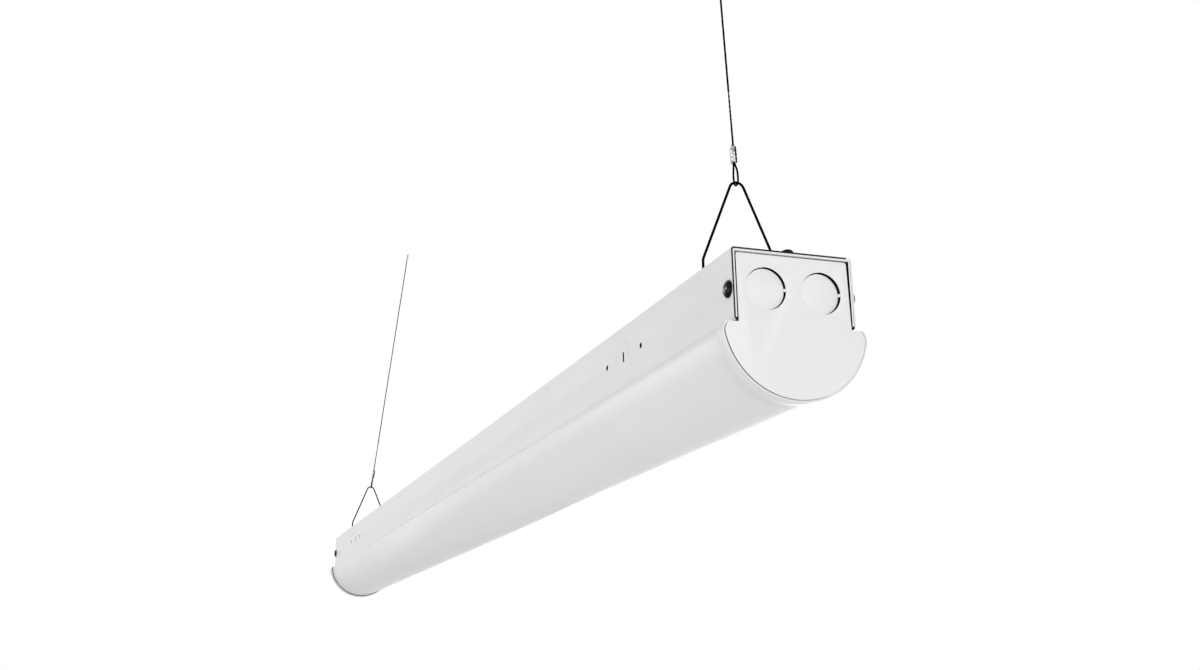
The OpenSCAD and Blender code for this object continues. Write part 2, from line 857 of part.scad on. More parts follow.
// The circuit board and what stands on it: lead blocks, choke, capacitors, transformer, heat sink
module driver_circuit() {
    lead_block_y = circuit_half_l - lead_block_back;
    color("seagreen") below_ceiling() translate([0, driver_y, 0]) {
        block([-circuit_half_w, circuit_half_w], [-circuit_half_l, circuit_half_l],
            [circuit_top - circuit_t, circuit_top]);
        for (end = [-1, 1])
            translate([-lead_block_w / 2, end * lead_block_y - lead_block_l / 2, circuit_top])
                cube([lead_block_w, lead_block_l, lead_block_h]);
        translate([0, choke_from_block - lead_block_y, circuit_top])
            difference() {
                cylinder(h = choke_h, d = choke_d);
                translate([0, 0, -cut]) cylinder(h = choke_h + 2 * cut, d = choke_bore_d);
            }
        for (y = capacitor_y)
            translate([capacitor_d / 3, y, circuit_top]) cylinder(h = capacitor_h, d = capacitor_d);
        translate([-transformer_w / 2, -transformer_l / 2, circuit_top])
            cube([transformer_w, transformer_l, transformer_h]);
        translate([heat_sink_x, heat_sink_y, circuit_top])
            cube([heat_sink_t, heat_sink_l, heat_sink_h]);
    }
}

module driver_screws() {
    color(ZINC) below_ceiling()
        at_driver_screws() small_screw(driver_sheet + tray_sheet);
}

// ---------- wiring ----------

module tray_grommet() {
    color("black") below_ceiling()
        translate([grommet_x, grommet_y, tray_floor])
            difference() {
                union() {
                    cylinder(h = tray_sheet, d = grommet_hole_d);
                    for (z = [-grommet_lip_t, tray_sheet])
                        translate([0, 0, z])
                            cylinder(h = grommet_lip_t, d = grommet_hole_d + 2 * grommet_lip);
                }
                translate([0, 0, -grommet_lip_t - cut])
                    cylinder(h = tray_sheet + 2 * grommet_lip_t + 2 * cut, d = grommet_bore_d);
            }
}

// From the driver along the tray, down through the grommet and into the first board's connector
module output_leads() {
    start = driver_y + circuit_half_l - lead_block_back + lead_block_l / 2;
    plug_z = board_floor - connector_h / 2;
    plug_x = connector_x + connector_w / 2;
    color("tomato") below_ceiling()
        for (side = [-1, 1]) {
            turn = grommet_y - side * lead_d * 0.6;
            lead([
                [side * lead_gap, start, lead_z],
                [side * lead_gap, start + 12, lead_z],
                [side * lead_gap, turn - 2, lead_z],
                [side * lead_gap + 3, turn, lead_z],
                [grommet_x, turn, lead_z],
                [grommet_x, turn, tray_top],
                [grommet_x, turn, plug_z + 1],
                [grommet_x, input_y - side * 1.5 - 2, plug_z],
                [grommet_x - 1, input_y - side * 1.5, plug_z],
                [plug_x, input_y - side * 1.5, plug_z]
            ]);
        }
}

module at_terminal_pegs() {
    for (x = [-terminal_port_x, terminal_port_x])
        translate([x, terminal_y, tray_top])
            children();
}

module supply_terminal() {
    size = terminal_size;
    color("ivory") below_ceiling() {
        difference() {
            translate([-size[0] / 2, terminal_y - size[1] / 2, tray_top]) cube(size);
            for (x = [-terminal_port_x, 0, terminal_port_x], end = [-1, 1])
                translate([x, terminal_y + end * size[1] / 2, terminal_port_z])
                    rotate([90, 0, 0])
                        cylinder(h = 2 * terminal_port_depth, d = 2 * lead_d, center = true);
        }
        at_terminal_pegs()
            translate([0, 0, -tray_sheet]) cylinder(h = tray_sheet, d = peg_d);
    }
}

// Live and neutral from the terminal to the driver
module mains_leads() {
    start = terminal_y + terminal_size[1] / 2 - terminal_port_depth;
    end = driver_y - circuit_half_l + lead_block_back - lead_block_l / 2;
    color("black") below_ceiling()
        for (lead = [[0, -lead_gap], [terminal_port_x, lead_gap]])
            lead([
                [lead[0], start, terminal_port_z],
                [lead[0], start + 16, terminal_port_z],
                [lead[1], start + 34, lead_z],
                [lead[1], end - 30, lead_z],
                [lead[1], end, lead_z]
            ]);
}

module ground_screw() {
    color("green") below_ceiling()
        translate([ground_x, ground_y, -sheet - ring_t])
            rotate([180, 0, 0]) small_screw(sheet + ring_t);
}

// The lead from the terminal, and the ring terminal under the ground screw
module ground_lead() {
    start = terminal_y + terminal_size[1] / 2 - terminal_port_depth;
    barrel_y = ground_y - ring_d / 2 - barrel_l + 1;
    barrel_z = -sheet - barrel_d / 2;
    color("green") below_ceiling() {
        lead([
            [-terminal_port_x, start, terminal_port_z],
            [-terminal_port_x, start + 14, terminal_port_z],
            [-terminal_port_x - 4, start + 20, terminal_port_z + 6],
            [ground_x, barrel_y - 12, barrel_z - 6],
            [ground_x, barrel_y - 6, barrel_z],
            [ground_x, barrel_y, barrel_z]
        ]);
        difference() {
            union() {
                translate([ground_x, ground_y, -sheet - ring_t])
                    cylinder(h = ring_t, d = ring_d);
                translate([ground_x, barrel_y, barrel_z])
                    rotate([-90, 0, 0]) cylinder(h = barrel_l, d = barrel_d);
            }
            translate([ground_x, ground_y, -sheet - barrel_d])
                cylinder(h = barrel_d + cut, d = inner_screw_d + 2 * thread_play);
            translate([ground_x, ground_y, -sheet - barrel_d - ring_t])
                cylinder(h = barrel_d, d = ring_d + 1);
        }
    }
}

// ---------- hooks ----------

module wire_leg() {
    foot_bend = [hook_x + foot_bend_r, foot_z + foot_bend_r];
    foot_start = [foot_bend[0], foot_z];
    leg_start = [hook_x, foot_bend[1]];
    wire_rod(foot_start, [hook_x + hook_foot, foot_z]);
    wire_arc(foot_bend, foot_bend_r, 180, 270);
    wire_rod(leg_start, knee_low);
    wire_arc([hook_x - hook_knee_r, knee_low[1]], hook_knee_r, 0, hook_slope);
    wire_rod(knee_high, leg_top);
    for (joint = [foot_start, leg_start, knee_low, knee_high, leg_top])
        wire_ball(joint);
}

module wire_hook() {
    color(SPRING_STEEL) {
        both_sides() wire_leg();
        wire_arc([0, top_bend_z], hook_bend_r, hook_slope, 180 - hook_slope);
    }
}

module near_hook() { below_ceiling() at_near_end() translate([0, hook_y, 0]) wire_hook(); }
module far_hook() { below_ceiling() at_far_end() translate([0, hook_y, 0]) wire_hook(); }

// ---------- cables ----------

// Children stand on the near or far hook's top bend, z along the leaning cable, tail towards the middle
module on_hook(end, lean) {
    below_ceiling()
        translate([0, end * (half_l - hook_y), top_bend_z])
            rotate([0, lean, 0])
                mirror([0, end > 0 ? 1 : 0, 0])
                    children();
}

// Length from the hook's top bend to the ceiling plane, where the leaning stop's upper rim ends
function cable_reach(lean) = (hang - top_bend_z) / cos(lean) - stop_d / 2 * tan(abs(lean));

module cable(lean) {
    route = concat(cable_route, [[0, cable_reach(lean)]]);
    color(SPRING_STEEL)
        tube([for (p = route) [0, p[0], p[1]]], cable_d);
}

module crimp_sleeve() {
    sleeve_r = cable_r + crimp_wall;
    color(ZINC)
        translate([0, 0, crimp_z])
            linear_extrude(crimp_len)
                difference() {
                    union() {
                        circle(sleeve_r);
                        translate([0, tail_y]) circle(sleeve_r);
                        translate([-sleeve_r, 0]) square([2 * sleeve_r, tail_y]);
                    }
                    circle(cable_r);
                    translate([0, tail_y]) circle(cable_r);
                }
}

module cable_stop(lean) {
    color(ZINC)
        translate([0, 0, cable_reach(lean) - stop_len])
            difference() {
                cylinder(h = stop_len, d = stop_d);
                translate([0, 0, -cut]) cylinder(h = stop_len + 2 * cut, d = cable_d);
            }
}

module near_cable() { on_hook(-1, near_lean) cable(near_lean); }
module far_cable() { on_hook(1, far_lean) cable(far_lean); }
module near_crimp_sleeve() { on_hook(-1, near_lean) crimp_sleeve(); }
module far_crimp_sleeve() { on_hook(1, far_lean) crimp_sleeve(); }
module near_cable_stop() { on_hook(-1, near_lean) cable_stop(near_lean); }
module far_cable_stop() { on_hook(1, far_lean) cable_stop(far_lean); }

// ---------- the nodes ----------

channel();
diffuser();
near_end_cap();
far_end_cap();
near_cap_screws();
far_cap_screws();
near_top_screw();
far_top_screw();
led_tray();
near_tray_bracket();
far_tray_bracket();
tray_screws();
near_led_board();
far_led_board();
near_leds();
far_leds();
board_screws();
board_connectors();
board_jumper();
driver_base();
driver_cover();
driver_circuit();
driver_screws();
tray_grommet();
output_leads();
supply_terminal();
mains_leads();
ground_screw();
ground_lead();
near_hook();
far_hook();
near_cable();
far_cable();
near_crimp_sleeve();
far_crimp_sleeve();
near_cable_stop();
far_cable_stop();
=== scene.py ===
"""Hanging shop light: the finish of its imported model, in metres, with +Z up.

The origin lies on the ceiling plane, above the middle of the housing. The near end is at -Y.
"""

import math

import bmesh
import bpy
from mathutils import Matrix, Vector


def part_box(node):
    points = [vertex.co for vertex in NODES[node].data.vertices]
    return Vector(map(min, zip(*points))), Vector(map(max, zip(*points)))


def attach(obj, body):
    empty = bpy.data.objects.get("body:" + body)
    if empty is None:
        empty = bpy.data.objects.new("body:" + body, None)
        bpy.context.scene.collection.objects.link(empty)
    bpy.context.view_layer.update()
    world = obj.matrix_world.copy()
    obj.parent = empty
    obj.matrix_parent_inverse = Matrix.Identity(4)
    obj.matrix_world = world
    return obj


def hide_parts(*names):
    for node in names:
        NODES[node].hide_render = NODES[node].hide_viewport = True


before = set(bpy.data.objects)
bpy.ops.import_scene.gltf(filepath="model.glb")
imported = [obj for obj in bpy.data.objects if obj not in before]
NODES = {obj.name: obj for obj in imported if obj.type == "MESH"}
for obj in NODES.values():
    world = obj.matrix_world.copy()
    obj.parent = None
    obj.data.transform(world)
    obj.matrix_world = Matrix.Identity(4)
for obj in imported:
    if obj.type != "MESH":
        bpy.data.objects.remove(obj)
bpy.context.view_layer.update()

MM = 0.001
# Points closer than this are one point
WELD = 0.002 * MM

# ------------------------------------------------ sizes

HOUSING_LOW, HOUSING_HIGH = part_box("channel")
HALF_LENGTH = HOUSING_HIGH.y
HALF_WIDTH = HOUSING_HIGH.x
TOP = HOUSING_HIGH.z
BOTTOM = HOUSING_LOW.z
SHEET = 0.9 * MM
CAP_INSET = 0.6 * MM
# The long folds and the hem's inner layer lie within this of the housing's sides, top and bottom
FOLD_ZONE = 3 * MM

KNOCKOUT_R = 11.1 * MM
KNOCKOUT_SLIT = 0.5 * MM
KNOCKOUT_X = 15.5 * MM
KNOCKOUT_Z = TOP - 20.3 * MM

HOOK_FROM_END = 58 * MM
HOOK_WIRE_R = 0.75 * MM
TOP_BEND_R = 4.5 * MM
TOP_BEND_Z = TOP + 55.5 * MM
HOOK_SLOPE = math.radians(22.5)
HOOK_HALF_WIDTH = 22.5 * MM
KNEE_R = 6 * MM
FOOT_Z = TOP - 1.9 * MM
FOOT_BEND_R = 2 * MM
FOOT_LENGTH = 6.5 * MM

CABLE_D = 1.2 * MM
STOP_D = 2.5 * MM
STOP_LENGTH = 8 * MM
LEAN = {"near": math.radians(-2.0), "far": math.radians(7.5)}
SIDE = {"near": -1, "far": 1}

# Millimetres along Y and up the cable, from the centre of the hook's top bend: the tail end, down
# through the crimp sleeve, round the hook's wire and up to the stop
CABLE_ROUTE = [
    (1.4, 27.3), (1.4, 22), (1.4, 16.3), (1.75, 14.2), (2.25, 12), (2.6, 9.8), (2.65, 7.6),
    (2.5, 5.4), (2.15, 4.2), (1.25, 3.3), (0, 2.95), (-1.25, 3.3), (-2.15, 4.2), (-2.5, 5.4),
    (-2.65, 7.6), (-2.5, 9.8), (-1.9, 12), (-0.85, 14.2), (0, 16.5), (0, 26), (0, 60),
]
# A cable's line has a point about every so far
ROUTE_STEP = 0.8 * MM

# ------------------------------------------------ camera

IMAGE_W = 1200
SENSOR_W = 36
FOCAL_PX = 1330.9
CAMERA_AT = (-311.9 * MM, -1173.5 * MM, -600.6 * MM)
CAMERA_HEADING = math.radians(20.22)
CAMERA_RISE = math.radians(15.40)
CAMERA_ROLL = math.radians(-1.24)


def make_camera():
    data = bpy.data.cameras.new("camera")
    data.sensor_width = SENSOR_W
    data.lens = FOCAL_PX * SENSOR_W / IMAGE_W
    data.clip_start = 10 * MM
    camera = bpy.data.objects.new("camera", data)
    bpy.context.scene.collection.objects.link(camera)
    turn = (
        Matrix.Rotation(-CAMERA_HEADING, 4, "Z")
        @ Matrix.Rotation(math.pi / 2 + CAMERA_RISE, 4, "X")
        @ Matrix.Rotation(CAMERA_ROLL, 4, "Z")
    )
    camera.matrix_world = Matrix.Translation(CAMERA_AT) @ turn
    bpy.context.scene.camera = camera


make_camera()

# ------------------------------------------------ node trees


def add(tree, kind, inputs=None, **settings):
    """Adds one node, with its settings, its values and its links."""
    node = tree.nodes.new(kind)
    for name, value in settings.items():
        setattr(node, name, value)
    for key, value in (inputs or {}).items():
        if isinstance(value, bpy.types.NodeSocket):
            tree.links.new(value, node.inputs[key])
        else:
            node.inputs[key].default_value = value
    return node


def colour(hex_code):
    """An sRGB hex colour as linear RGBA."""
    srgb = [int(hex_code[i : i + 2], 16) / 255 for i in (1, 3, 5)]
    linear = [c / 12.92 if c <= 0.04045 else ((c + 0.055) / 1.055) ** 2.4 for c in srgb]
    return (*linear, 1)


def geometry_tree(name, inputs):
    """A Geometry Nodes tree with a geometry input and output, and the named inputs."""
    tree = bpy.data.node_groups.new(name, "GeometryNodeTree")
    face = tree.interface
    face.new_socket("Geometry", in_out="INPUT", socket_type="NodeSocketGeometry")
    for label, kind in inputs.items():
        face.new_socket(label, in_out="INPUT", socket_type="NodeSocket" + kind)
    face.new_socket("Geometry", in_out="OUTPUT", socket_type="NodeSocketGeometry")
    return tree, add(tree, "NodeGroupInput").outputs


def close_tree(tree, geometry, material, marked_material=None):
    """Ends a tree: its instances become one mesh in one material, or two where faces are marked."""
    real = add(tree, "GeometryNodeRealizeInstances", {"Geometry": geometry}).outputs[0]
    done = add(tree, "GeometryNodeSetMaterial", {"Geometry": real, "Material": material}).outputs[0]
    if marked_material:
        marked = add(
            tree, "GeometryNodeInputNamedAttribute", {"Name": "marked"}, data_type="BOOLEAN"
        ).outputs["Attribute"]
        done = add(
            tree, "GeometryNodeSetMaterial",
            {"Geometry": done, "Selection": marked, "Material": marked_material},
        ).outputs[0]
    add(tree, "NodeGroupOutput", {"Geometry": done})
    return tree


def mark(obj, is_marked):
    """Marks the faces that get a tree's second material."""
    flags = [is_marked(face) for face in obj.data.polygons]
    obj.data.attributes.new("marked", "BOOLEAN", "FACE").data.foreach_set("value", flags)


def with_nodes(obj, tree, values):
    """Puts a tree on obj and sets its named inputs."""
    modifier = obj.modifiers.new(tree.name, "NODES")
    modifier.node_group = tree
    ids = {s.name: s.identifier for s in tree.interface.items_tree if s.in_out == "INPUT"}
    for label, value in values.items():
        modifier[ids[label]] = value


def with_bevel(obj, width, segments, **settings):
    modifier = obj.modifiers.new("rounding", "BEVEL")
    modifier.width = width
    modifier.segments = segments
    for name, value in settings.items():
        setattr(modifier, name, value)


def link_object(name, data):
    obj = bpy.data.objects.new(name, data)
    bpy.context.scene.collection.objects.link(obj)
    return obj


def finished(name, obj):
    """A plain mesh object that holds obj's shape with its modifiers applied. obj is removed."""
    bpy.context.view_layer.update()
    graph = bpy.context.evaluated_depsgraph_get()
    mesh = bpy.data.meshes.new_from_object(obj.evaluated_get(graph), depsgraph=graph)
    bpy.data.objects.remove(obj)
    return link_object(name, mesh)


# ------------------------------------------------ materials

# Most of a noise's values lie between these two
NOISE_LOW = 0.3
NOISE_HIGH = 0.7

# Real sizes of the patterns, as waves per metre of Object coordinates
ORANGE_PEEL = 1 / (1.3 * MM)
CLOUDING = 1 / (90 * MM)
EXTRUSION_LINES = 1 / (0.9 * MM)
DRAWING_LINES = 1 / (0.25 * MM)
SPANGLE = 1 / (3.0 * MM)
FINE_GRAIN = 1 / (0.4 * MM)
STAINS = 1 / (7 * MM)
MOULDED_CLOUDS = 1 / (12 * MM)


def new_material(name):
    material = bpy.data.materials.new(name)
    material.use_nodes = True
    tree = material.node_tree
    tree.nodes.clear()
    place = add(tree, "ShaderNodeTexCoord").outputs["Object"]
    return material, tree, place


def surface(tree, **sockets):
    """Ends a material in one shader. A socket's name has _ where Blender's has a space."""
    values = {name.replace("_", " "): value for name, value in sockets.items()}
    shader = add(tree, "ShaderNodeBsdfPrincipled", values)
    add(tree, "ShaderNodeOutputMaterial", {"Surface": shader.outputs[0]})


def noise(tree, place, scale, detail=2.0, stretch=None):
    """Noise of that many waves a metre, longer along an axis where stretch is below 1."""
    if stretch:
        place = add(tree, "ShaderNodeMapping", {"Vector": place, "Scale": stretch}).outputs[0]
    return add(tree, "ShaderNodeTexNoise", {"Vector": place, "Scale": scale, "Detail": detail}).outputs[0]


def between(tree, factor, low, high):
    """A colour between two hex colours."""
    ramp = add(tree, "ShaderNodeValToRGB", {"Fac": factor})
    ramp.color_ramp.elements[0].position = NOISE_LOW
    ramp.color_ramp.elements[1].position = NOISE_HIGH
    ramp.color_ramp.elements[0].color = colour(low)
    ramp.color_ramp.elements[1].color = colour(high)
    return ramp.outputs["Color"]


def spread(tree, factor, low, high):
    """A number between low and high."""
    return add(tree, "ShaderNodeMapRange", {"Value": factor, "To Min": low, "To Max": high}).outputs[0]


def bumped(tree, height, depth, strength=1.0):
    return add(
        tree, "ShaderNodeBump", {"Height": height, "Distance": depth, "Strength": strength}
    ).outputs[0]


def powder_coat():
    """White polyester powder coat on folded steel: satin, with a faint orange peel."""
    material, tree, place = new_material("white_powder_coated_steel")
    clouds = noise(tree, place, CLOUDING, 3)
    peel = noise(tree, place, ORANGE_PEEL, 2)
    surface(
        tree,
        Base_Color=between(tree, clouds, "#E9E9EA", "#EEEEEF"),
        Roughness=spread(tree, clouds, 0.34, 0.42),
        Normal=bumped(tree, peel, 0.02 * MM, 0.5),
    )
    return material


def cut_edge_and_shade():
    """The sheared edge of the sheet: dark and dull, with shear lines. It is also put into narrow gaps and
    slits as painted shade.
    """
    material, tree, place = new_material("sheared_edge_and_painted_shade")
    lines = noise(tree, place, DRAWING_LINES, 2, (1, 0.1, 1))
    surface(
        tree,
        Base_Color=between(tree, lines, "#101011", "#1E1E20"),
        Metallic=0.6,
        Roughness=spread(tree, lines, 0.5, 0.7),
        Normal=bumped(tree, lines, 0.03 * MM),
    )
    return material


def frosted_plastic():
    """Extruded frosted acrylic: milky and soft, with very fine lines along its length."""
    material, tree, place = new_material("frosted_acrylic")
    lines = noise(tree, place, EXTRUSION_LINES, 2, (1, 0.004, 1))
    clouds = noise(tree, place, CLOUDING, 2)
    surface(
        tree,
        Base_Color=between(tree, clouds, "#EDEDEE", "#F0F0F1"),
        Roughness=spread(tree, lines, 0.26, 0.34),
        IOR=1.49,
        Subsurface_Weight=0.15,
        Subsurface_Radius=(4 * MM, 4 * MM, 4 * MM),
        Subsurface_Scale=1.0,
        Normal=bumped(tree, lines, 0.01 * MM, 0.4),
    )
    return material


# What a drawn wire throws back near its outline, where bare metal would turn white
DULL_RIM = "#3A3A3C"


def drawn_steel(name, dark, light, roughness):
    """Drawn steel wire: dark with drawing soap or oil, with scratches along its length."""
    material, tree, place = new_material(name)
    lines = noise(tree, place, DRAWING_LINES, 3, (1, 1, 0.12))
    stains = noise(tree, place, STAINS, 3)
    surface(
        tree,
        Base_Color=between(tree, stains, dark, light),
        Specular_Tint=colour(DULL_RIM),
        Metallic=1.0,
        Roughness=spread(tree, lines, roughness - 0.08, roughness + 0.12),
        Normal=bumped(tree, lines, 0.02 * MM, 0.6),
    )
    return material


def plated_steel(name, dark, light, roughness=0.35):
    """Plated or pressed metal: spangled, a little cloudy."""
    material, tree, place = new_material(name)
    flakes = add(tree, "ShaderNodeTexVoronoi", {"Vector": place, "Scale": SPANGLE})
    grain = noise(tree, place, FINE_GRAIN, 2)
    surface(
        tree,
        Base_Color=between(tree, flakes.outputs["Color"], dark, light),
        Metallic=1.0,
        Roughness=spread(tree, grain, roughness - 0.06, roughness + 0.1),
        Normal=bumped(tree, grain, 0.01 * MM, 0.5),
    )
    return material


def plain_plastic(name, dark, light, roughness=0.45, coat=0.0):
    """A moulded plastic or lacquer: one colour with slight clouding and a fine texture."""
    material, tree, place = new_material(name)
    clouds = noise(tree, place, MOULDED_CLOUDS, 3)
    grain = noise(tree, place, FINE_GRAIN, 2)
    surface(
        tree,
        Base_Color=between(tree, clouds, dark, light),
        Roughness=spread(tree, grain, roughness - 0.08, roughness + 0.08),
        Coat_Weight=coat,
        Normal=bumped(tree, grain, 0.01 * MM, 0.5),
    )
    return material


WHITE_STEEL = powder_coat()
CUT_EDGE_AND_SHADE = cut_edge_and_shade()
FROSTED = frosted_plastic()
SPRING_WIRE = drawn_steel("black_spring_wire", "#060607", "#101011", 0.4)
CABLE_STEEL = drawn_steel("oiled_rope_steel", "#070708", "#131314", 0.36)
CRIMP_METAL = plated_steel("pressed_crimp_alloy", "#9C9C9F", "#D4D4D6", 0.3)
BLACK_SCREW = plated_steel("black_zinc_screw", "#111112", "#242426", 0.25)
# Bright steel in the screws' cross recesses: bit wear, and a painted glint
BARED_STEEL_GLINT = plated_steel("bit_bared_steel_and_glint", "#C4C4C6", "#DCDCDD", 0.25)
ZINC = plated_steel("bright_zinc", "#A3A5A8", "#C5C7CA")
GREEN_SCREW = plain_plastic("green_screw_lacquer", "#1D6B35", "#2C8246", 0.35, 0.4)
BOARD_WHITE = plain_plastic("white_solder_mask", "#E6E7E2", "#EFEFEA", 0.3, 0.3)
LED_PACKAGE = plain_plastic("white_led_package", "#E9E9E4", "#F2F2ED", 0.35)
PHOSPHOR = plain_plastic("yellow_phosphor", "#D9C24E", "#E8D46A", 0.4)
IVORY = plain_plastic("ivory_nylon", "#DDD6C2", "#E8E2D0", 0.4)
CIRCUIT_GREEN = plain_plastic("green_circuit_lacquer", "#1B5E38", "#2A7548", 0.3, 0.3)
RUBBER = plain_plastic("black_rubber", "#0E0E0E", "#1B1B1B", 0.6)
RED_PVC = plain_plastic("red_lead_insulation", "#A91E18", "#C32A22", 0.4)
BLACK_PVC = plain_plastic("black_lead_insulation", "#101010", "#1E1E1E", 0.4)
GREEN_PVC = plain_plastic("green_lead_insulation", "#1C7A35", "#2A9147", 0.4)

NODE_FINISH = {
    "led_tray": WHITE_STEEL,
    "near_tray_bracket": ZINC,
    "far_tray_bracket": ZINC,
    "near_led_board": BOARD_WHITE,
    "far_led_board": BOARD_WHITE,
    "board_connectors": IVORY,
    "board_jumper": RED_PVC,
    "driver_base": ZINC,
    "driver_cover": WHITE_STEEL,
    "driver_circuit": CIRCUIT_GREEN,
    "tray_grommet": RUBBER,
    "output_leads": RED_PVC,
    "supply_terminal": IVORY,
    "mains_leads": BLACK_PVC,
    "ground_lead": GREEN_PVC,
}


def dress(obj, *materials):
    obj.data.materials.clear()
    for material in materials:
        obj.data.materials.append(material)


def smooth(obj, degrees=35):
    obj.data.shade_smooth()
    obj.data.set_sharp_from_angle(angle=math.radians(degrees))


# ------------------------------------------------ lines and sections


def arc(centre, r, start, end, steps):
    """Points on an arc, the angles in radians."""
    angles = [start + (end - start) * i / steps for i in range(steps + 1)]
    return [(centre[0] + r * math.cos(a), centre[1] + r * math.sin(a)) for a in angles]


def rounded_path(points, step):
    """A smooth line through hand-set points, with a point about every step."""
    ends = [2 * points[0] - points[1], *points, 2 * points[-1] - points[-2]]
    line = []
    for before, a, b, after in zip(ends, ends[1:], ends[2:], ends[3:]):
        count = max(1, round((b - a).length / step))
        for i in range(count):
            t = i / count
            slow = (2 * before - 5 * a + 4 * b - after) * t * t
            fast = (3 * a - before - 3 * b + after) * t**3
            line.append(0.5 * (2 * a + (b - before) * t + slow + fast))
    return [*line, points[-1]]


def line_object(name, points, radii=None):
    """An open line of straight stretches, as a curve object."""
    data = bpy.data.curves.new(name, "CURVE")
    data.dimensions = "3D"
    spline = data.splines.new("POLY")
    spline.points.add(len(points) - 1)
    for i, point in enumerate(points):
        spline.points[i].co = (*point, 1)
        spline.points[i].radius = radii[i] if radii else 1.0
    return link_object(name, data)


def mesh_object(name, bm):
    mesh = bpy.data.meshes.new(name)
    bm.to_mesh(mesh)
    bm.free()
    return link_object(name, mesh)


def close_rings(bm, rings):
    """Skins closed rings of points with quads, closes both ends and faces it all outwards."""
    rows = [[bm.verts.new(p) for p in ring] for ring in rings]
    for low, high in zip(rows, rows[1:]):
        for i in range(len(low)):
            j = (i + 1) % len(low)
            bm.faces.new((low[i], low[j], high[j], high[i]))
    bm.faces.new(rows[0][::-1])
    bm.faces.new(rows[-1])
    bmesh.ops.recalc_face_normals(bm, faces=bm.faces)


def turned(profile, sides):
    """Rings of a profile of (radius, height) turned about Z."""
    angles = [math.tau * i / sides for i in range(sides)]
    return [[Vector((r * math.cos(a), r * math.sin(a), z)) for a in angles] for r, z in profile]


def settle(piece, body, slot, *replaced):
    """Gives a finished piece its body and hides the CAD nodes that it stands for. The slot is not used.
    """
    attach(piece, body)
    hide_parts(*replaced)


# ------------------------------------------------ cables


def on_hook(end):
    """Turns a cable's own frame into the row frame: its origin is the hook's top bend."""
    at = (0, SIDE[end] * (HALF_LENGTH - HOOK_FROM_END), TOP_BEND_Z)
    mirrored = Matrix.Diagonal((1, -SIDE[end], 1, 1))
    return Matrix.Translation(at) @ Matrix.Rotation(LEAN[end], 4, "Y") @ mirrored


def cable_top(end):
    """Distance along the cable from the hook's top bend to the ceiling plane."""
    return -TOP_BEND_Z / math.cos(LEAN[end]) - STOP_D / 2 * math.tan(abs(LEAN[end]))


def cable_line(end):
    place = on_hook(end)
    ups = [(y * MM, z * MM) for y, z in CABLE_ROUTE] + [(0, cable_top(end))]
    return rounded_path([place @ Vector((0, y, z)) for y, z in ups], ROUTE_STEP)


def rope_tree():
    """Strands laid in a helix round a line, over a core."""
    tree, given = geometry_tree(
        "laid_rope",
        {"Strands": "Int", "Lay": "Float", "Strand radius": "Float", "Core radius": "Float",
         "Sides": "Int", "Material": "Material"},
    )

    def math_node(operation, a, b):
        return add(tree, "ShaderNodeMath", {0: a, 1: b}, operation=operation).outputs[0]

    copies = add(
        tree, "GeometryNodeDuplicateElements",
        {"Geometry": given["Geometry"], "Amount": given["Strands"]}, domain="SPLINE",
    )
    along = add(tree, "GeometryNodeSplineParameter").outputs["Length"]
    turns = math_node("DIVIDE", along, given["Lay"])
    share = math_node("DIVIDE", copies.outputs["Duplicate Index"], given["Strands"])
    angle = math_node("MULTIPLY", math_node("ADD", turns, share), math.tau)
    sideways = add(tree, "GeometryNodeInputNormal").outputs["Normal"]
    forward = add(tree, "GeometryNodeInputTangent").outputs["Tangent"]
    radius = math_node("ADD", given["Strand radius"], given["Core radius"])
    arm = add(tree, "ShaderNodeVectorMath", {0: sideways, "Scale": radius}, operation="SCALE").outputs[0]
    swung = add(
        tree, "ShaderNodeVectorRotate", {"Vector": arm, "Axis": forward, "Angle": angle},
        rotation_type="AXIS_ANGLE",
    ).outputs[0]
    laid = add(
        tree, "GeometryNodeSetPosition", {"Geometry": copies.outputs["Geometry"], "Offset": swung}
    ).outputs[0]
    join = add(tree, "GeometryNodeJoinGeometry")
    for line, size in ((laid, given["Strand radius"]), (given["Geometry"], given["Core radius"])):
        ring = add(
            tree, "GeometryNodeCurvePrimitiveCircle", {"Resolution": given["Sides"], "Radius": size}
        ).outputs[0]
        skin = add(
            tree, "GeometryNodeCurveToMesh", {"Curve": line, "Profile Curve": ring, "Fill Caps": True}
        ).outputs[0]
        tree.links.new(skin, join.inputs[0])
    rounded = add(tree, "GeometryNodeSetShadeSmooth", {"Geometry": join.outputs[0]}).outputs[0]
    return close_tree(tree, rounded, given["Material"])


ROPE = rope_tree()
# Six strands of 0.4 mm round a core of the same
STRANDS = 6
STRAND_R = CABLE_D / 6
STRAND_SIDES = 6
ROPE_LAY = 9.5 * MM


def make_rope(end, line):
    raw = line_object(f"{end}_cable_line", line)
    with_nodes(raw, ROPE, {
        "Strands": STRANDS, "Lay": ROPE_LAY, "Strand radius": STRAND_R, "Core radius": STRAND_R,
        "Sides": STRAND_SIDES, "Material": CABLE_STEEL,
    })
    return finished(f"{end}_cable_rope", raw)


# The crimp sleeve: an oval barrel round both runs, pressed in bands, its mouths rolled in
CRIMP_FOOT = 16.3 * MM
CRIMP_LENGTH = 9.8 * MM
CRIMP_R = 1.75 * MM
CRIMP_BANDS = 4
# How far the bands are pressed in, as a share of the radius, and how much of that widens it
CRIMP_PRESS = 0.2
CRIMP_SPREAD = 0.3
CRIMP_ROLL = 0.7 * MM
# How thick the wall is at the rolled mouths, as a share of its full thickness
CRIMP_MOUTH = 0.4
TAIL_Y = 1.4 * MM
CRIMP_RINGS = 64
CRIMP_SIDES = 32
# The crimp's right side is painted shade: faces that look this way by more than this share take the
# wire's dark finish.
SHADE_WAY = Vector((0.94, -0.34, 0))
SHADE_SHARE = 0.2


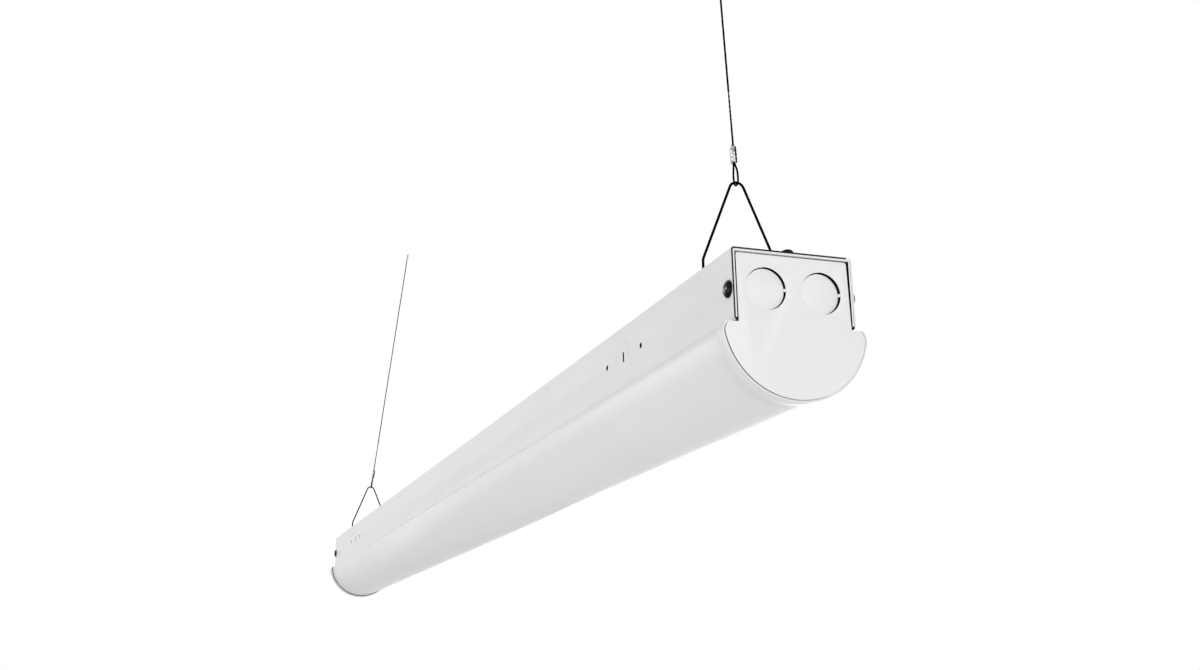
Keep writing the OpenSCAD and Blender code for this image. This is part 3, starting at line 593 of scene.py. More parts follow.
def crimp_ring(share):
    """A closed ring round the two runs: thick along X, wide along Y, the tail at +Y."""
    lip = min(share, 1 - share) * CRIMP_LENGTH
    rolled = math.sqrt(max(0.0, 1 - max(0.0, 1 - lip / CRIMP_ROLL) ** 2))
    press = math.sin(math.pi * CRIMP_BANDS * share) ** 2
    wall = CRIMP_MOUTH + (1 - CRIMP_MOUTH) * rolled
    r = CABLE_D / 2 + (CRIMP_R - CABLE_D / 2) * wall
    thick = r * (1 - CRIMP_PRESS * press)
    wide = r * (1 - CRIMP_SPREAD * CRIMP_PRESS * (1 - press))
    ring = []
    for i in range(CRIMP_SIDES):
        a = math.tau * (i + 0.5) / CRIMP_SIDES
        y = TAIL_Y * (math.sin(a) > 0) + wide * math.sin(a)
        ring.append(Vector((thick * math.cos(a), y, share * CRIMP_LENGTH)))
    return ring


def make_crimp(end):
    place = on_hook(end) @ Matrix.Translation((0, 0, CRIMP_FOOT))
    bm = bmesh.new()
    rings = [crimp_ring(i / CRIMP_RINGS) for i in range(CRIMP_RINGS + 1)]
    close_rings(bm, [[place @ p for p in ring] for ring in rings])
    crimp = mesh_object(f"{end}_crimp", bm)
    dress(crimp, CRIMP_METAL, SPRING_WIRE)
    # Faces turned to the right take the wire's dark finish as painted shade
    for face in crimp.data.polygons:
        face.material_index = int(face.normal.dot(SHADE_WAY) > SHADE_SHARE)
    smooth(crimp, degrees=50)
    return crimp


# The stop: a round sleeve with rolled ends and one band pressed into its middle, in millimetres
STOP_PROFILE = [
    (0.62, 0), (1.05, 0), (1.2, 0.15), (1.25, 0.45), (1.25, 2.6), (1.1, 3.1), (1.05, 4.0),
    (1.1, 4.9), (1.25, 5.4), (1.25, 7.55), (1.2, 7.85), (1.05, 8), (0.62, 8),
]
STOP_SIDES = 32


def make_stop(end):
    place = on_hook(end) @ Matrix.Translation((0, 0, cable_top(end) - STOP_LENGTH))
    bm = bmesh.new()
    rings = turned([(r * MM, z * MM) for r, z in STOP_PROFILE], STOP_SIDES)
    close_rings(bm, [[place @ p for p in ring] for ring in rings])
    stop = mesh_object(f"{end}_stop", bm)
    dress(stop, CRIMP_METAL)
    smooth(stop)
    return stop


def make_cable(end):
    line = cable_line(end)
    rope = make_rope(end, line)
    crimp = make_crimp(end)
    stop = make_stop(end)
    settle(rope, f"{end}_cable", "cable_steel", f"{end}_cable")
    settle(crimp, f"{end}_cable", "crimp_metal", f"{end}_crimp_sleeve")
    settle(stop, f"{end}_cable", "crimp_metal", f"{end}_cable_stop")


for end in SIDE:
    make_cable(end)

# ------------------------------------------------ wire hooks

# The share of its thickness that the wire has at the first two points of a cut end, and how far
# the first four points lie from that end, in millimetres
CUT_END = (0.75, 0.93)
CUT_END_POINTS = (0, 0.12, 0.35, 1.5)
WIRE_SIDES = 20
FOOT_STEPS = 10
KNEE_STEPS = 8
TOP_STEPS = 12


def wire_tree():
    """A round bar along a line, as thick at each point as the line's radius says."""
    tree, given = geometry_tree(
        "bent_wire", {"Wire radius": "Float", "Sides": "Int", "Material": "Material"}
    )
    ring = add(
        tree, "GeometryNodeCurvePrimitiveCircle",
        {"Resolution": given["Sides"], "Radius": given["Wire radius"]},
    ).outputs[0]
    dulled = add(tree, "GeometryNodeInputRadius").outputs[0]
    bar = add(
        tree, "GeometryNodeCurveToMesh",
        {"Curve": given["Geometry"], "Profile Curve": ring, "Scale": dulled, "Fill Caps": True},
    ).outputs[0]
    return close_tree(tree, bar, given["Material"])


BENT_WIRE = wire_tree()


def hook_half():
    """The right half of the hook, from the foot's cut end to the top bend's middle, as (x, z)."""
    foot = (HOOK_HALF_WIDTH + FOOT_BEND_R, FOOT_Z + FOOT_BEND_R)
    top = (TOP_BEND_R * math.cos(HOOK_SLOPE), TOP_BEND_Z + TOP_BEND_R * math.sin(HOOK_SLOPE))
    knee = top[1] - (HOOK_HALF_WIDTH - top[0]) / math.tan(HOOK_SLOPE)
    knee_low = knee - KNEE_R * math.tan(HOOK_SLOPE / 2)
    tip = HOOK_HALF_WIDTH + FOOT_LENGTH
    return [
        *[(tip - back * MM, FOOT_Z) for back in CUT_END_POINTS],
        *arc(foot, FOOT_BEND_R, -math.pi / 2, -math.pi, FOOT_STEPS),
        *arc((HOOK_HALF_WIDTH - KNEE_R, knee_low), KNEE_R, 0, HOOK_SLOPE, KNEE_STEPS),
        *arc((0, TOP_BEND_Z), TOP_BEND_R, HOOK_SLOPE, math.pi / 2, TOP_STEPS),
    ]


def make_hook(end):
    y = SIDE[end] * (HALF_LENGTH - HOOK_FROM_END)
    half = hook_half()
    line = half + [(-x, z) for x, z in half[-2::-1]]
    radii = [*CUT_END, *[1.0] * (len(line) - 2 * len(CUT_END)), *CUT_END[::-1]]
    raw = line_object(f"{end}_hook_line", [(x, y, z) for x, z in line], radii)
    with_nodes(
        raw, BENT_WIRE, {"Wire radius": HOOK_WIRE_R, "Sides": WIRE_SIDES, "Material": SPRING_WIRE}
    )
    hook = finished(f"{end}_wire_hook", raw)
    smooth(hook, degrees=50)
    settle(hook, f"{end}_hook", "spring_wire", f"{end}_hook")


for end in SIDE:
    make_hook(end)

# ------------------------------------------------ diffuser

DIFFUSER_LOW, DIFFUSER_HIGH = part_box("diffuser")
DIFFUSER_R = HALF_WIDTH + 5 * MM
ROUND_Z = BOTTOM + 1.4 * MM
DIFFUSER_WALL = 1.4 * MM
SHOULDER_R = 5 * MM
# The diffuser nearly touches the housing here. The CAD leaves 0.3 mm, and the skirts follow that.
SHOULDER_GAP = 0.05 * MM
CAD_SHOULDER_GAP = 0.3 * MM
SHOULDER_Z = BOTTOM - SHOULDER_GAP - SHOULDER_R
SKIRT_SHOULDER_Z = BOTTOM - CAD_SHOULDER_GAP - SHOULDER_R
SNAP_X = HALF_WIDTH - 7.3 * MM
SNAP_Z = BOTTOM + 1.2 * MM
SNAP_T = 1.2 * MM
SNAP_BITE = 2.5 * MM
DIFFUSER_EDGE = 0.25 * MM
ROUND_STEPS = 60
SHOULDER_STEPS = 12


def diffuser_side(grown):
    """The right side of the diffuser's outline, grown by that much, from the bottom up."""
    reach = DIFFUSER_R - SHOULDER_R
    meet = math.asin((SHOULDER_Z - ROUND_Z) / reach)
    shoulder = (reach * math.cos(meet), SHOULDER_Z)
    return [
        *arc((0, ROUND_Z), DIFFUSER_R + grown, -math.pi / 2, meet, ROUND_STEPS),
        *arc(shoulder, SHOULDER_R + grown, meet, math.pi / 2, SHOULDER_STEPS)[1:],
    ]


def diffuser_outline():
    top = SHOULDER_Z + SHOULDER_R
    right = [
        *diffuser_side(0),
        (SNAP_X, top),
        (SNAP_X, SNAP_Z),
        (SNAP_X + SNAP_BITE, SNAP_Z),
        (SNAP_X + SNAP_BITE, SNAP_Z + SNAP_T),
        (SNAP_X - DIFFUSER_WALL, SNAP_Z + SNAP_T),
        (SNAP_X - DIFFUSER_WALL, top - DIFFUSER_WALL),
        *diffuser_side(-DIFFUSER_WALL)[::-1],
    ]
    return right + [(-x, z) for x, z in right[::-1][1:-1]]


def extrusion_tree():
    """Draws a flat section out along Y into a closed bar."""
    tree, given = geometry_tree("extruded_section", {"Length": "Float", "Material": "Material"})
    drawn = add(
        tree, "GeometryNodeExtrudeMesh",
        {"Mesh": given["Geometry"], "Offset": (0, 1, 0), "Offset Scale": given["Length"],
         "Individual": False},
    ).outputs[0]
    start = add(tree, "GeometryNodeFlipFaces", {"Mesh": given["Geometry"]}).outputs[0]
    join = add(tree, "GeometryNodeJoinGeometry")
    tree.links.new(start, join.inputs[0])
    tree.links.new(drawn, join.inputs[0])
    whole = add(
        tree, "GeometryNodeMergeByDistance", {"Geometry": join.outputs[0], "Distance": WELD / 2}
    ).outputs[0]
    return close_tree(tree, whole, given["Material"])


def make_diffuser():
    bm = bmesh.new()
    section = bm.faces.new([bm.verts.new((x, DIFFUSER_LOW.y, z)) for x, z in diffuser_outline()])
    section.normal_update()
    if section.normal.y < 0:
        section.normal_flip()
    raw = mesh_object("diffuser_section", bm)
    long = DIFFUSER_HIGH.y - DIFFUSER_LOW.y
    with_nodes(raw, extrusion_tree(), {"Length": long, "Material": FROSTED})
    with_bevel(raw, DIFFUSER_EDGE, 2, angle_limit=math.radians(40))
    piece = finished("round_diffuser", raw)
    smooth(piece)
    settle(piece, "housing", "frosted_diffuser", "diffuser")


make_diffuser()

# ------------------------------------------------ folded and pressed steel

# How much is rounded off an edge that is sheared, bent or drawn
EDGE_BREAK = 0.12 * MM
BENT_EDGE = 0.35 * MM
SKIRT_EDGE = 0.3 * MM

# The neck is this much smaller here than in the CAD at its left side, seen from outside, and its
# top. Its right side is smaller by these shares of that, from the bottom to the top.
NECK_PLAY = 0.45 * MM
RIGHT_PLAY = (0.3, 2.0)
# The neck's walls lie between these two distances from the housing's sides and top
NECK_WALL = (2 * MM, 3.3 * MM)
# Its faces that are painted dark, as painted shade in the gap, lie within this of the sides, and its bent
# edges within this of sides and top
NECK_SPACE = 3.5 * MM
NECK_RIM = 4 * MM
NECK_FOOT = BOTTOM - 0.5 * MM
BELOW_NECK = BOTTOM - 1 * MM
NECK_FACING = 0.8

# The seam between the face and the skirt is a slit round the face. Its inner wall lies this far
# outside the diffuser's outline and its floor this deep, before it is made wider and deeper.
SEAM_GROWTH = 0.9 * MM
SEAM_FLOOR = 0.4 * MM
SEAM_WIDER = 0.35 * MM
SEAM_DEEPER = 0.35 * MM
# Its wall, painted dark as painted shade, is looked for within this depth and growth, and ends this far
# right
SEAM_DEPTH = 0.85 * MM
SEAM_REACH = 1.1 * MM
SEAM_RIGHT = 0.4 * DIFFUSER_R
# The skirt's own edges lie further outside the diffuser's outline than this
SKIRT_GROWTH = 1.5 * MM

# How far a point may lie from a face, a wall or an outline of the CAD and still belong to it
ON_FACE = 0.02 * MM
ON_WALL = 0.05 * MM
ON_OUTLINE = 0.1 * MM
# A face looks along a direction if its normal has more than this of it, or across it if less
FACING = 0.9
SIDEWAYS = 0.5

# Each knockout of an end cap, seen from outside: how far its disc sits right and up, and how much
# deeper its right edge is pushed in than its left one
DISC_SHIFTS = {
    "left": (-0.33 * MM, -0.22 * MM, 0.5 * MM),
    "right": (-0.45 * MM, -0.28 * MM, 0.9 * MM),
}
DISC_SLIT = 0.45 * MM
# The slit's walls are painted dark on its right only, as painted shade. The middle of that is turned up
# by this angle, and it starts at this share of the radius. It is looked for up to SLIT_REACH outside.
DARK_MIDDLE = math.radians(15)
DARK_FROM = 0.14
SLIT_REACH = 0.3 * MM

FLUSH_KNOCKOUT_Y = HALF_LENGTH - 151 * MM
FLUSH_KNOCKOUT_Z = TOP - 19.3 * MM
FLUSH_KNOCKOUTS = [
    Vector((side * HALF_WIDTH, end * FLUSH_KNOCKOUT_Y, FLUSH_KNOCKOUT_Z))
    for side in (-1, 1)
    for end in (-1, 1)
] + [Vector((0, 0, TOP))]
# The slit round each of these in the CAD, and here
FLUSH_SLIT = 0.25 * MM
SHEARED_SLIT = 0.05 * MM
# The sides' inside is painted dark this far from each end, as painted shade in the gap beside the neck
SHADE_STRIP = 5 * MM

# Faces that turn less than this from each other become one, and edges that turn more are rounded
FLAT = math.radians(0.3)
SHARP = math.radians(30)
BEVEL_SEGMENTS = 3


def right_way(at):
    """1 if right is +X, seen from outside the end that a point is nearer to, or else -1."""
    return math.copysign(1, -at.y)


def rightwards(at):
    """How far right of the middle a point lies, seen from outside the end that it is nearer to."""
    return right_way(at) * at.x


def welded(node):
    """A CAD node's mesh with its doubles merged."""
    bm = bmesh.new()
    bm.from_mesh(NODES[node].data)
    bmesh.ops.remove_doubles(bm, verts=bm.verts, dist=WELD)
    return bm


def softened(name, node, edge_radius, is_cut_or_shade, reshape):
    """A CAD node's shape, reshaped, with its sharp edges rounded, and its cut faces and its faces of
    painted shade dark.
    """
    bm = welded(node)
    bmesh.ops.dissolve_limit(bm, angle_limit=FLAT, verts=bm.verts, edges=bm.edges)
    reshape(bm)
    weight = bm.edges.layers.float.new("bevel_weight_edge")
    sharp = [e for e in bm.edges if len(e.link_faces) == 2 and e.calc_face_angle(0) > SHARP]
    widest = max(edge_radius(edge) for edge in sharp)
    for edge in sharp:
        edge[weight] = edge_radius(edge) / widest
    raw = mesh_object(name + "_raw", bm)
    raw.data.shade_smooth()
    with_bevel(raw, widest, BEVEL_SEGMENTS, limit_method="WEIGHT", harden_normals=True)
    piece = finished(name, raw)
    dress(piece, WHITE_STEEL, CUT_EDGE_AND_SHADE)
    for face in piece.data.polygons:
        face.material_index = int(is_cut_or_shade(face.center, face.normal))
    smooth(piece)
    settle(piece, "housing", "white_steel", node)


def flush_offset(at):
    """Where a point lies from the nearest of the housing's own knockouts, in the sheet's plane."""
    nearest = min((at - centre for centre in FLUSH_KNOCKOUTS), key=lambda offset: offset.length)
    if abs(at.z - TOP) < SHEET + EDGE_BREAK:
        nearest.z = 0
    else:
        nearest.x = 0
    return nearest


def shape_channel(bm):
    """Parts off the faces that are painted dark, partly as painted shade, and closes the slits round the
    housing's knockouts.

    The knockouts are only sheared through, so their discs nearly fill the holes.
    """
    for normal in ((1, 0, 0), (0, 1, 0)):
        for side in (-1, 1):
            reach = HALF_WIDTH - FOLD_ZONE if normal[0] else HALF_LENGTH - SHADE_STRIP
            bmesh.ops.bisect_plane(
                bm, geom=[*bm.verts, *bm.edges, *bm.faces], dist=WELD / 2,
                plane_co=side * reach * Vector(normal), plane_no=normal,
            )
    rim = KNOCKOUT_R - FLUSH_SLIT
    for vert in bm.verts:
        offset = flush_offset(vert.co)
        if abs(offset.length - rim) < ON_WALL:
            vert.co += offset * ((KNOCKOUT_R - SHEARED_SLIT) / rim - 1)


def channel_cut_and_shade(at, normal):
    """The sheet's bare sheared ends, but for the right side's, which stays white as a painted highlight;
    the sides' inside by the ends, as painted shade; and the walls of holes and slots.
    """
    # The ends are bare sheared steel, but the right side's end stays white as a painted highlight
    if abs(at.y) > HALF_LENGTH - ON_WALL and abs(normal.y) > FACING:
        return rightwards(at) < HALF_WIDTH - FOLD_ZONE
    by_side = abs(at.x) > HALF_WIDTH - FOLD_ZONE
    # Painted shade: the sides' inner faces near the ends, seen through the gap beside the neck
    if by_side and abs(at.y) > HALF_LENGTH - SHADE_STRIP and at.z > BOTTOM:
        return normal.x * at.x < -SIDEWAYS * abs(at.x)
    in_side = abs(at.x) > HALF_WIDTH - SHEET and BOTTOM + FOLD_ZONE < at.z < TOP - FOLD_ZONE
    in_top = at.z > TOP - SHEET and not by_side
    is_wall = (in_side and abs(normal.x) < SIDEWAYS) or (in_top and abs(normal.z) < SIDEWAYS)
    return is_wall and abs(flush_offset(at).length - KNOCKOUT_R) > KNOCKOUT_SLIT


def knockout_centre(at):
    return Vector((math.copysign(KNOCKOUT_X, at.x), at.y, KNOCKOUT_Z))


def from_knockout(at):
    """Distance of a point from the axis of the nearer knockout of an end cap."""
    return (at - knockout_centre(at)).length


def cap_depth(at):
    """How far a point lies behind an end cap's face."""
    return HALF_LENGTH - CAP_INSET - abs(at.y)


def skirt_centre(at):
    """The centre of the arc of the skirt that a point belongs to."""
    meet = math.asin((SKIRT_SHOULDER_Z - ROUND_Z) / (DIFFUSER_R - SHOULDER_R))
    if math.atan2(at.z - ROUND_Z, abs(at.x)) < meet:
        return Vector((0, at.y, ROUND_Z)), DIFFUSER_R
    reach = (DIFFUSER_R - SHOULDER_R) * math.cos(meet)
    return Vector((math.copysign(reach, at.x), at.y, SKIRT_SHOULDER_Z)), SHOULDER_R


def seam_growth(at):
    """How far a point lies outside the diffuser's outline."""
    centre, r = skirt_centre(at)
    return (at - centre).length - r


def settle_disc(at):
    """Tilts and shifts a point of a knockout's disc, as the press has left it."""
    centre = knockout_centre(at)
    offset = (at - centre) * ((KNOCKOUT_R - DISC_SLIT) / (KNOCKOUT_R - KNOCKOUT_SLIT))
    right, up, tilt = DISC_SHIFTS["right" if rightwards(at) > 0 else "left"]
    offset.x += right * right_way(at)
    offset.z += up
    offset.y += tilt / 2 * offset.x / KNOCKOUT_R
    return centre + offset


def neck_play(at):
    """How much further in the neck's side is moved at that point."""
    if rightwards(at) < 0:
        return NECK_PLAY
    low, high = RIGHT_PLAY
    return NECK_PLAY * (low + (high - low) * (at.z - BOTTOM) / (TOP - BOTTOM))


def shape_cap(bm):
    """Settles the knockouts' discs, widens the seam round the face and narrows the neck."""
    outer, inner = NECK_WALL
    for vert in bm.verts:
        at = vert.co
        if from_knockout(at) < KNOCKOUT_R - KNOCKOUT_SLIT / 2:
            vert.co = settle_disc(at)
        elif at.z < BELOW_NECK and cap_depth(at) < SEAM_FLOOR + ON_WALL:
            if abs(seam_growth(at) - SEAM_GROWTH) < ON_OUTLINE:
                at -= (at - skirt_centre(at)[0]).normalized() * SEAM_WIDER
            if abs(cap_depth(at) - SEAM_FLOOR) < ON_WALL:
                at.y -= math.copysign(SEAM_DEEPER, at.y)
        elif at.z > NECK_FOOT:
            if HALF_WIDTH - inner < abs(at.x) < HALF_WIDTH - outer:
                at.x -= math.copysign(neck_play(at), at.x)
            if at.z > TOP - inner:
                at.z -= NECK_PLAY


def cap_edge(edge):
    """The neck's edges are bent, the skirt's are drawn, and the rest are sheared."""
    points = [vert.co for vert in edge.verts]
    if any(abs(cap_depth(at)) >= ON_FACE for at in points):
        return EDGE_BREAK
    if all(at.z < BOTTOM and seam_growth(at) > SKIRT_GROWTH for at in points):
        return SKIRT_EDGE
    by_rim = all(abs(at.x) > HALF_WIDTH - NECK_RIM or at.z > TOP - NECK_RIM for at in points)
    return BENT_EDGE if by_rim and all(at.z > BOTTOM for at in points) else EDGE_BREAK


def cap_painted_shade(at, normal):
    """Painted shade: the neck's sides, the slits' walls on the right of the knockouts, and most of the
    seam.
    """
    reach = from_knockout(at)
    # Painted shade: the slit's walls on the right of each knockout, seen from outside
    if KNOCKOUT_R - 2 * KNOCKOUT_SLIT < reach < KNOCKOUT_R + SLIT_REACH:
        offset = at - knockout_centre(at)
        right = offset.x * right_way(at)
        across = right * math.cos(DARK_MIDDLE) + offset.z * math.sin(DARK_MIDDLE)
        return across > DARK_FROM * reach and abs(normal.y) < SIDEWAYS
    # Painted shade: the neck's sides that face the hem across the gap
    if at.z > BOTTOM and cap_depth(at) > 0 and abs(at.x) > HALF_WIDTH - NECK_SPACE:
        return normal.x * at.x > NECK_FACING * abs(at.x)
    # Painted shade: the seam's outer wall, but not at its right
    in_slit = 0 < cap_depth(at) < SEAM_DEPTH and seam_growth(at) < SEAM_REACH
    outwards = normal.dot((at - skirt_centre(at)[0]).normalized())
    return at.z < BELOW_NECK and in_slit and outwards > FACING and rightwards(at) < SEAM_RIGHT


for end in SIDE:
    softened(f"{end}_pressed_cap", f"{end}_end_cap", cap_edge, cap_painted_shade, shape_cap)
softened("folded_housing", "channel", lambda edge: EDGE_BREAK, channel_cut_and_shade, shape_channel)

# ------------------------------------------------ screws

# Each group of screws: thread diameter, head diameter and head height in millimetres, the way the
# heads look, the finish and its slot
SCREW_GROUPS = {
    "near_cap_screws": ((4.2, 9, 2.6), "out", BLACK_SCREW, "screw_steel"),
    "far_cap_screws": ((4.2, 9, 2.6), "out", BLACK_SCREW, "screw_steel"),
    "near_top_screw": ((3.5, 6.5, 3.1), "up", BLACK_SCREW, "screw_steel"),
    "far_top_screw": ((3.5, 6.5, 3.1), "up", BLACK_SCREW, "screw_steel"),
    "tray_screws": ((3, 5.4, 1.8), "down", ZINC, "zinc_plate"),
    "board_screws": ((3, 5.4, 1.8), "down", ZINC, "zinc_plate"),
    "driver_screws": ((3, 5.4, 1.8), "up", ZINC, "zinc_plate"),
    "ground_screw": ((3, 5.4, 1.8), "down", GREEN_SCREW, "green_screw"),
}
SCREW_SIDES = 24
RINGS_PER_TURN = 6
# The thread's pitch, its root and the tip of its point, as shares of its diameter
PITCH = 0.33
THREAD_ROOT = 0.8
POINT_TIP = 0.45
# The share of the screw's length in which a point would grow from nothing to full thickness
POINT_TAPER = 0.3
# The dome's radius, its flat top's and the recess's bars, as shares of the head's diameter, and the
# size of a bar's floor against its mouth
DOME_R = 0.75
DOME_TOP = 0.05
RECESS_LENGTH = 0.62
RECESS_WIDTH = 0.2
RECESS_TAPER = 0.7
# Faces of the recess lie within this share of the head's diameter from its middle and above this
# share of its height. The dome's own lie above the last one.
RECESS_R = 0.34
RECESS_LOW = 0.3
DOME_LOW = 0.75
HEAD_EDGE = 0.15 * MM
# Shares of the head's height at which its dome has a ring
DOME_RINGS = (0.3, 0.5, 0.7, 0.85, 0.95, 0.99)


def solids(node):
    """The lowest and highest corners of each separate solid of a CAD node."""
    bm = welded(node)
    boxes = []
    left = set(bm.verts)
    while left:
        found = [left.pop()]
        for vert in found:
            for edge in vert.link_edges:
                other = edge.other_vert(vert)
                if other in left:
                    left.remove(other)
                    found.append(other)
        boxes.append([Vector([pick(v.co[i] for v in found) for i in range(3)]) for pick in (min, max)])
    bm.free()
    return sorted(boxes, key=lambda box: tuple(box[0]))


def screw_shape(d, length, head_d, head_h):
    """A pan-head screw with a cross recess, its seat at z = 0 and its head above."""
    pitch = PITCH * d
    rings = []
    steps = round(length / pitch * RINGS_PER_TURN)
    for i in range(steps + 1):
        z = -length + length * i / steps
        point = min(1.0, POINT_TIP + (z + length) / (POINT_TAPER * length))
        rings.append([])
        for k in range(SCREW_SIDES):
            a = math.tau * k / SCREW_SIDES
            crest = 1 - abs(2 * ((z / pitch - a / math.tau) % 1) - 1)
            r = d / 2 * point * (THREAD_ROOT + (1 - THREAD_ROOT) * crest)
            rings[-1].append(Vector((r * math.cos(a), r * math.sin(a), z)))
    dome_r = DOME_R * head_d
    rise = [(head_d / 2 - HEAD_EDGE, 0), (head_d / 2, HEAD_EDGE)]
    for share in DOME_RINGS:
        z = share * head_h
        rise.append((min(head_d / 2, math.sqrt(dome_r**2 - (z - head_h + dome_r) ** 2)), z))
    rings += turned([*rise, (DOME_TOP * head_d, head_h)], SCREW_SIDES)
    bm = bmesh.new()
    close_rings(bm, rings)
    return mesh_object("screw_shape", bm)


def recess_cutter(turn, head_d, head_h):
    """One bar of the cross recess, narrower at its floor."""
    bm = bmesh.new()
    bmesh.ops.create_cube(bm, size=1)
    for vert in bm.verts:
        narrow = RECESS_TAPER if vert.co.z < 0 else 1.0
        vert.co.x *= RECESS_LENGTH * head_d * narrow
        vert.co.y *= RECESS_WIDTH * head_d * narrow
        vert.co.z = head_h * (1 + vert.co.z)
    bmesh.ops.rotate(bm, verts=bm.verts, matrix=Matrix.Rotation(turn, 3, "Z"))
    return mesh_object("recess_cutter", bm)


def in_recess(face, head_d, head_h):
    """Is it a wall or the floor of the cross recess?"""
    at = face.center
    on_dome = face.normal.z > SIDEWAYS and at.z > DOME_LOW * head_h
    near_middle = math.hypot(at.x, at.y) < RECESS_R * head_d
    return at.z > RECESS_LOW * head_h and near_middle and not on_dome


def screw_tree():
    """A screw on every point, turned so that its head looks along the point's outward attribute."""
    tree, given = geometry_tree(
        "placed_screws", {"Screw": "Object", "Material": "Material", "Recess": "Material"}
    )
    screw = add(tree, "GeometryNodeObjectInfo", {"Object": given["Screw"]}).outputs["Geometry"]
    outward = add(
        tree, "GeometryNodeInputNamedAttribute", {"Name": "outward"}, data_type="FLOAT_VECTOR"
    ).outputs["Attribute"]
    turn = add(tree, "FunctionNodeAlignRotationToVector", {"Vector": outward}, axis="Z").outputs[0]
    placed = add(
        tree, "GeometryNodeInstanceOnPoints",
        {"Points": given["Geometry"], "Instance": screw, "Rotation": turn},
    ).outputs[0]
    return close_tree(tree, placed, given["Material"], given["Recess"])


SCREW_PLACES = screw_tree()


def make_screws(node, sizes, looks, finish, slot):
    """The screws of a CAD node, all alike, each where its solid is."""
    d, head_d, head_h = (size * MM for size in sizes)
    places = mesh_object(node + "_places", bmesh.new())
    seats = []
    ways = []
    for low, high in solids(node):
        middle = (low + high) / 2
        way = {"up": Vector((0, 0, 1)), "down": Vector((0, 0, -1)),
               "out": Vector((math.copysign(1, middle.x), 0, 0))}[looks]
        half = abs(way.dot(high - low)) / 2
        seats.append(middle + way * (half - head_h))
        ways.append(way)
    places.data.from_pydata([tuple(seat) for seat in seats], [], [])
    outward = places.data.attributes.new("outward", "FLOAT_VECTOR", "POINT")
    for i, way in enumerate(ways):
        outward.data[i].vector = way
    shape = screw_shape(d, 2 * half - head_h, head_d, head_h)
    cutters = [recess_cutter(turn, head_d, head_h) for turn in (0, math.pi / 2)]
    for cutter in cutters:
        modifier = shape.modifiers.new("recess", "BOOLEAN")
        modifier.object = cutter
        modifier.operation = "DIFFERENCE"
        modifier.solver = "EXACT"
    screw = finished("screw", shape)
    for cutter in cutters:
        bpy.data.objects.remove(cutter)
    # The recess takes bright steel: bit wear, and a painted glint on the dark head
    mark(screw, lambda face: in_recess(face, head_d, head_h))
    with_nodes(
        places, SCREW_PLACES, {"Screw": screw, "Material": finish, "Recess": BARED_STEEL_GLINT}
    )
    piece = finished(node.replace("_screw", "_pan_screw"), places)
    bpy.data.objects.remove(screw)
    smooth(piece, degrees=40)
    settle(piece, "housing", slot, node)


for node, group in SCREW_GROUPS.items():
    make_screws(node, *group)

# ------------------------------------------------ LEDs

LED_PITCH = 24 * MM
WELL_EDGE = 0.35 * MM
WELL_DEPTH = 0.12 * MM


def led_tree():
    """A row of LED packages at an even pitch along Y."""
    tree, given = geometry_tree(
        "led_row",
        {"Package": "Object", "Count": "Int", "Pitch": "Float", "Start": "Vector",
         "Lens": "Material", "Material": "Material"},
    )
    package = add(tree, "GeometryNodeObjectInfo", {"Object": given["Package"]}).outputs["Geometry"]
    step = add(tree, "ShaderNodeCombineXYZ", {"Y": given["Pitch"]}).outputs[0]
    row = add(
        tree, "GeometryNodeMeshLine",
        {"Count": given["Count"], "Start Location": given["Start"], "Offset": step},
    ).outputs[0]
    placed = add(tree, "GeometryNodeInstanceOnPoints", {"Points": row, "Instance": package}).outputs[0]
    return close_tree(tree, placed, given["Material"], given["Lens"])


def led_package(size):
    """A white package with its phosphor well in the underside, round its own middle."""
    bm = bmesh.new()
    bmesh.ops.create_cube(bm, size=1)
    bmesh.ops.scale(bm, vec=size, verts=bm.verts)
    under = min(bm.faces, key=lambda face: face.calc_center_median().z)
    bmesh.ops.inset_region(bm, faces=[under], thickness=WELL_EDGE, depth=-WELL_DEPTH)
    package = mesh_object("led_package", bm)
    mark(package, lambda face: face.normal.z < -FACING and face.center.z > -size.z / 2 + ON_WALL)
    return package


LED_ROW = led_tree()
for end in SIDE:
    rows = solids(f"{end}_leds")
    size = rows[0][1] - rows[0][0]
    first = min(((low + high) / 2 for low, high in rows), key=lambda at: at.y)
    package = led_package(size)
    raw = mesh_object(f"{end}_led_row", bmesh.new())
    with_nodes(raw, LED_ROW, {
        "Package": package, "Count": len(rows), "Pitch": LED_PITCH, "Start": first,
        "Lens": PHOSPHOR, "Material": LED_PACKAGE,
    })
    piece = finished(f"{end}_led_packages", raw)
    bpy.data.objects.remove(package)
    settle(piece, "housing", "led_phosphor", f"{end}_leds")

# ------------------------------------------------ inner pieces

for node, material in NODE_FINISH.items():
    dress(NODES[node], material)

# ------------------------------------------------ light and backdrop

# The world's strength as light on the object
SOFT_LIGHT = 0.55
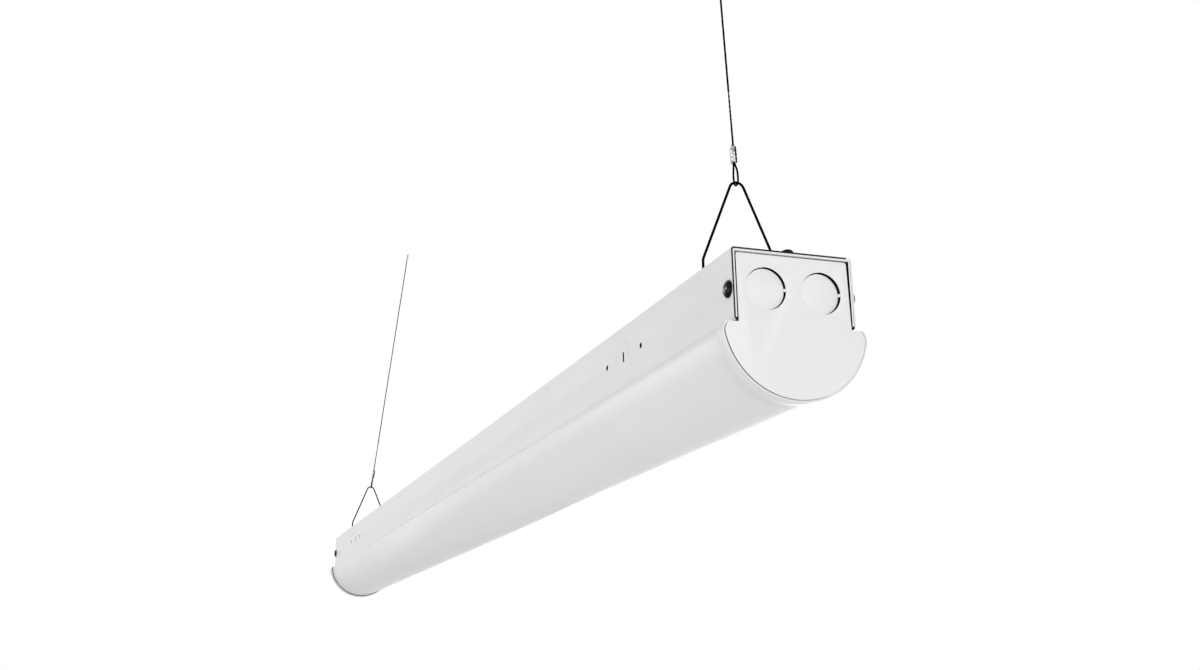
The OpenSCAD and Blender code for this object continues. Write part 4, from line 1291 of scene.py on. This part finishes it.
# Name, place and watts of each soft lamp
LAMPS = [
    ("front", (0.3, -3.2, -0.5), 26),
    ("left", (-2.8, -0.2, -0.7), 11),
    ("far_left", (-2.6, 1.6, -0.5), 12.5),
    ("right", (2.8, 0.2, -0.5), 16),
    ("back", (2.0, 2.8, -0.5), 18),
]
LAMP_AIM = (0, 0, -0.4)
LAMP_SIZE = 1.6
FLOOR_Z = -1.6
FLOOR_HALF = 12
FLOOR_CLOUDS = 1 / (500 * MM)


def make_world():
    """Even soft light, and plain white where the camera or a reflection sees it."""
    world = bpy.data.worlds.new("studio")
    world.use_nodes = True
    tree = world.node_tree
    tree.nodes.clear()
    rays = add(tree, "ShaderNodeLightPath").outputs
    seen = rays["Is Camera Ray"]
    for kind in ("Is Glossy Ray", "Is Transmission Ray"):
        seen = add(tree, "ShaderNodeMath", {0: seen, 1: rays[kind]}, operation="MAXIMUM").outputs[0]
    soft = add(tree, "ShaderNodeBackground", {"Color": (1, 1, 1, 1), "Strength": SOFT_LIGHT})
    white = add(tree, "ShaderNodeBackground", {"Color": (1, 1, 1, 1), "Strength": 1.0})
    both = add(tree, "ShaderNodeMixShader", {0: seen, 1: soft.outputs[0], 2: white.outputs[0]})
    add(tree, "ShaderNodeOutputWorld", {"Surface": both.outputs[0]})
    bpy.context.scene.world = world


def area_lamp(name, at, aim, size, power):
    data = bpy.data.lights.new(name, "AREA")
    data.shape = "DISK"
    data.size = size
    data.energy = power
    lamp = bpy.data.objects.new(name, data)
    bpy.context.scene.collection.objects.link(lamp)
    lamp.location = at
    lamp.rotation_mode = "QUATERNION"
    lamp.rotation_quaternion = (Vector(aim) - Vector(at)).to_track_quat("-Z", "Y")


def make_floor():
    bm = bmesh.new()
    bmesh.ops.create_grid(bm, x_segments=1, y_segments=1, size=FLOOR_HALF)
    bmesh.ops.translate(bm, verts=bm.verts, vec=(0, 0, FLOOR_Z))
    floor = mesh_object("floor", bm)
    material, tree, place = new_material("pale_floor")
    clouds = noise(tree, place, FLOOR_CLOUDS, 2)
    surface(tree, Base_Color=between(tree, clouds, "#EDEDED", "#F2F2F2"), Roughness=0.6)
    dress(floor, material)


make_world()
make_floor()
for name, at, power in LAMPS:
    area_lamp(name, at, LAMP_AIM, LAMP_SIZE, power)

bpy.context.scene.view_settings.view_transform = "Standard"

# ------------------------------------------------ final update

bpy.context.view_layer.update()
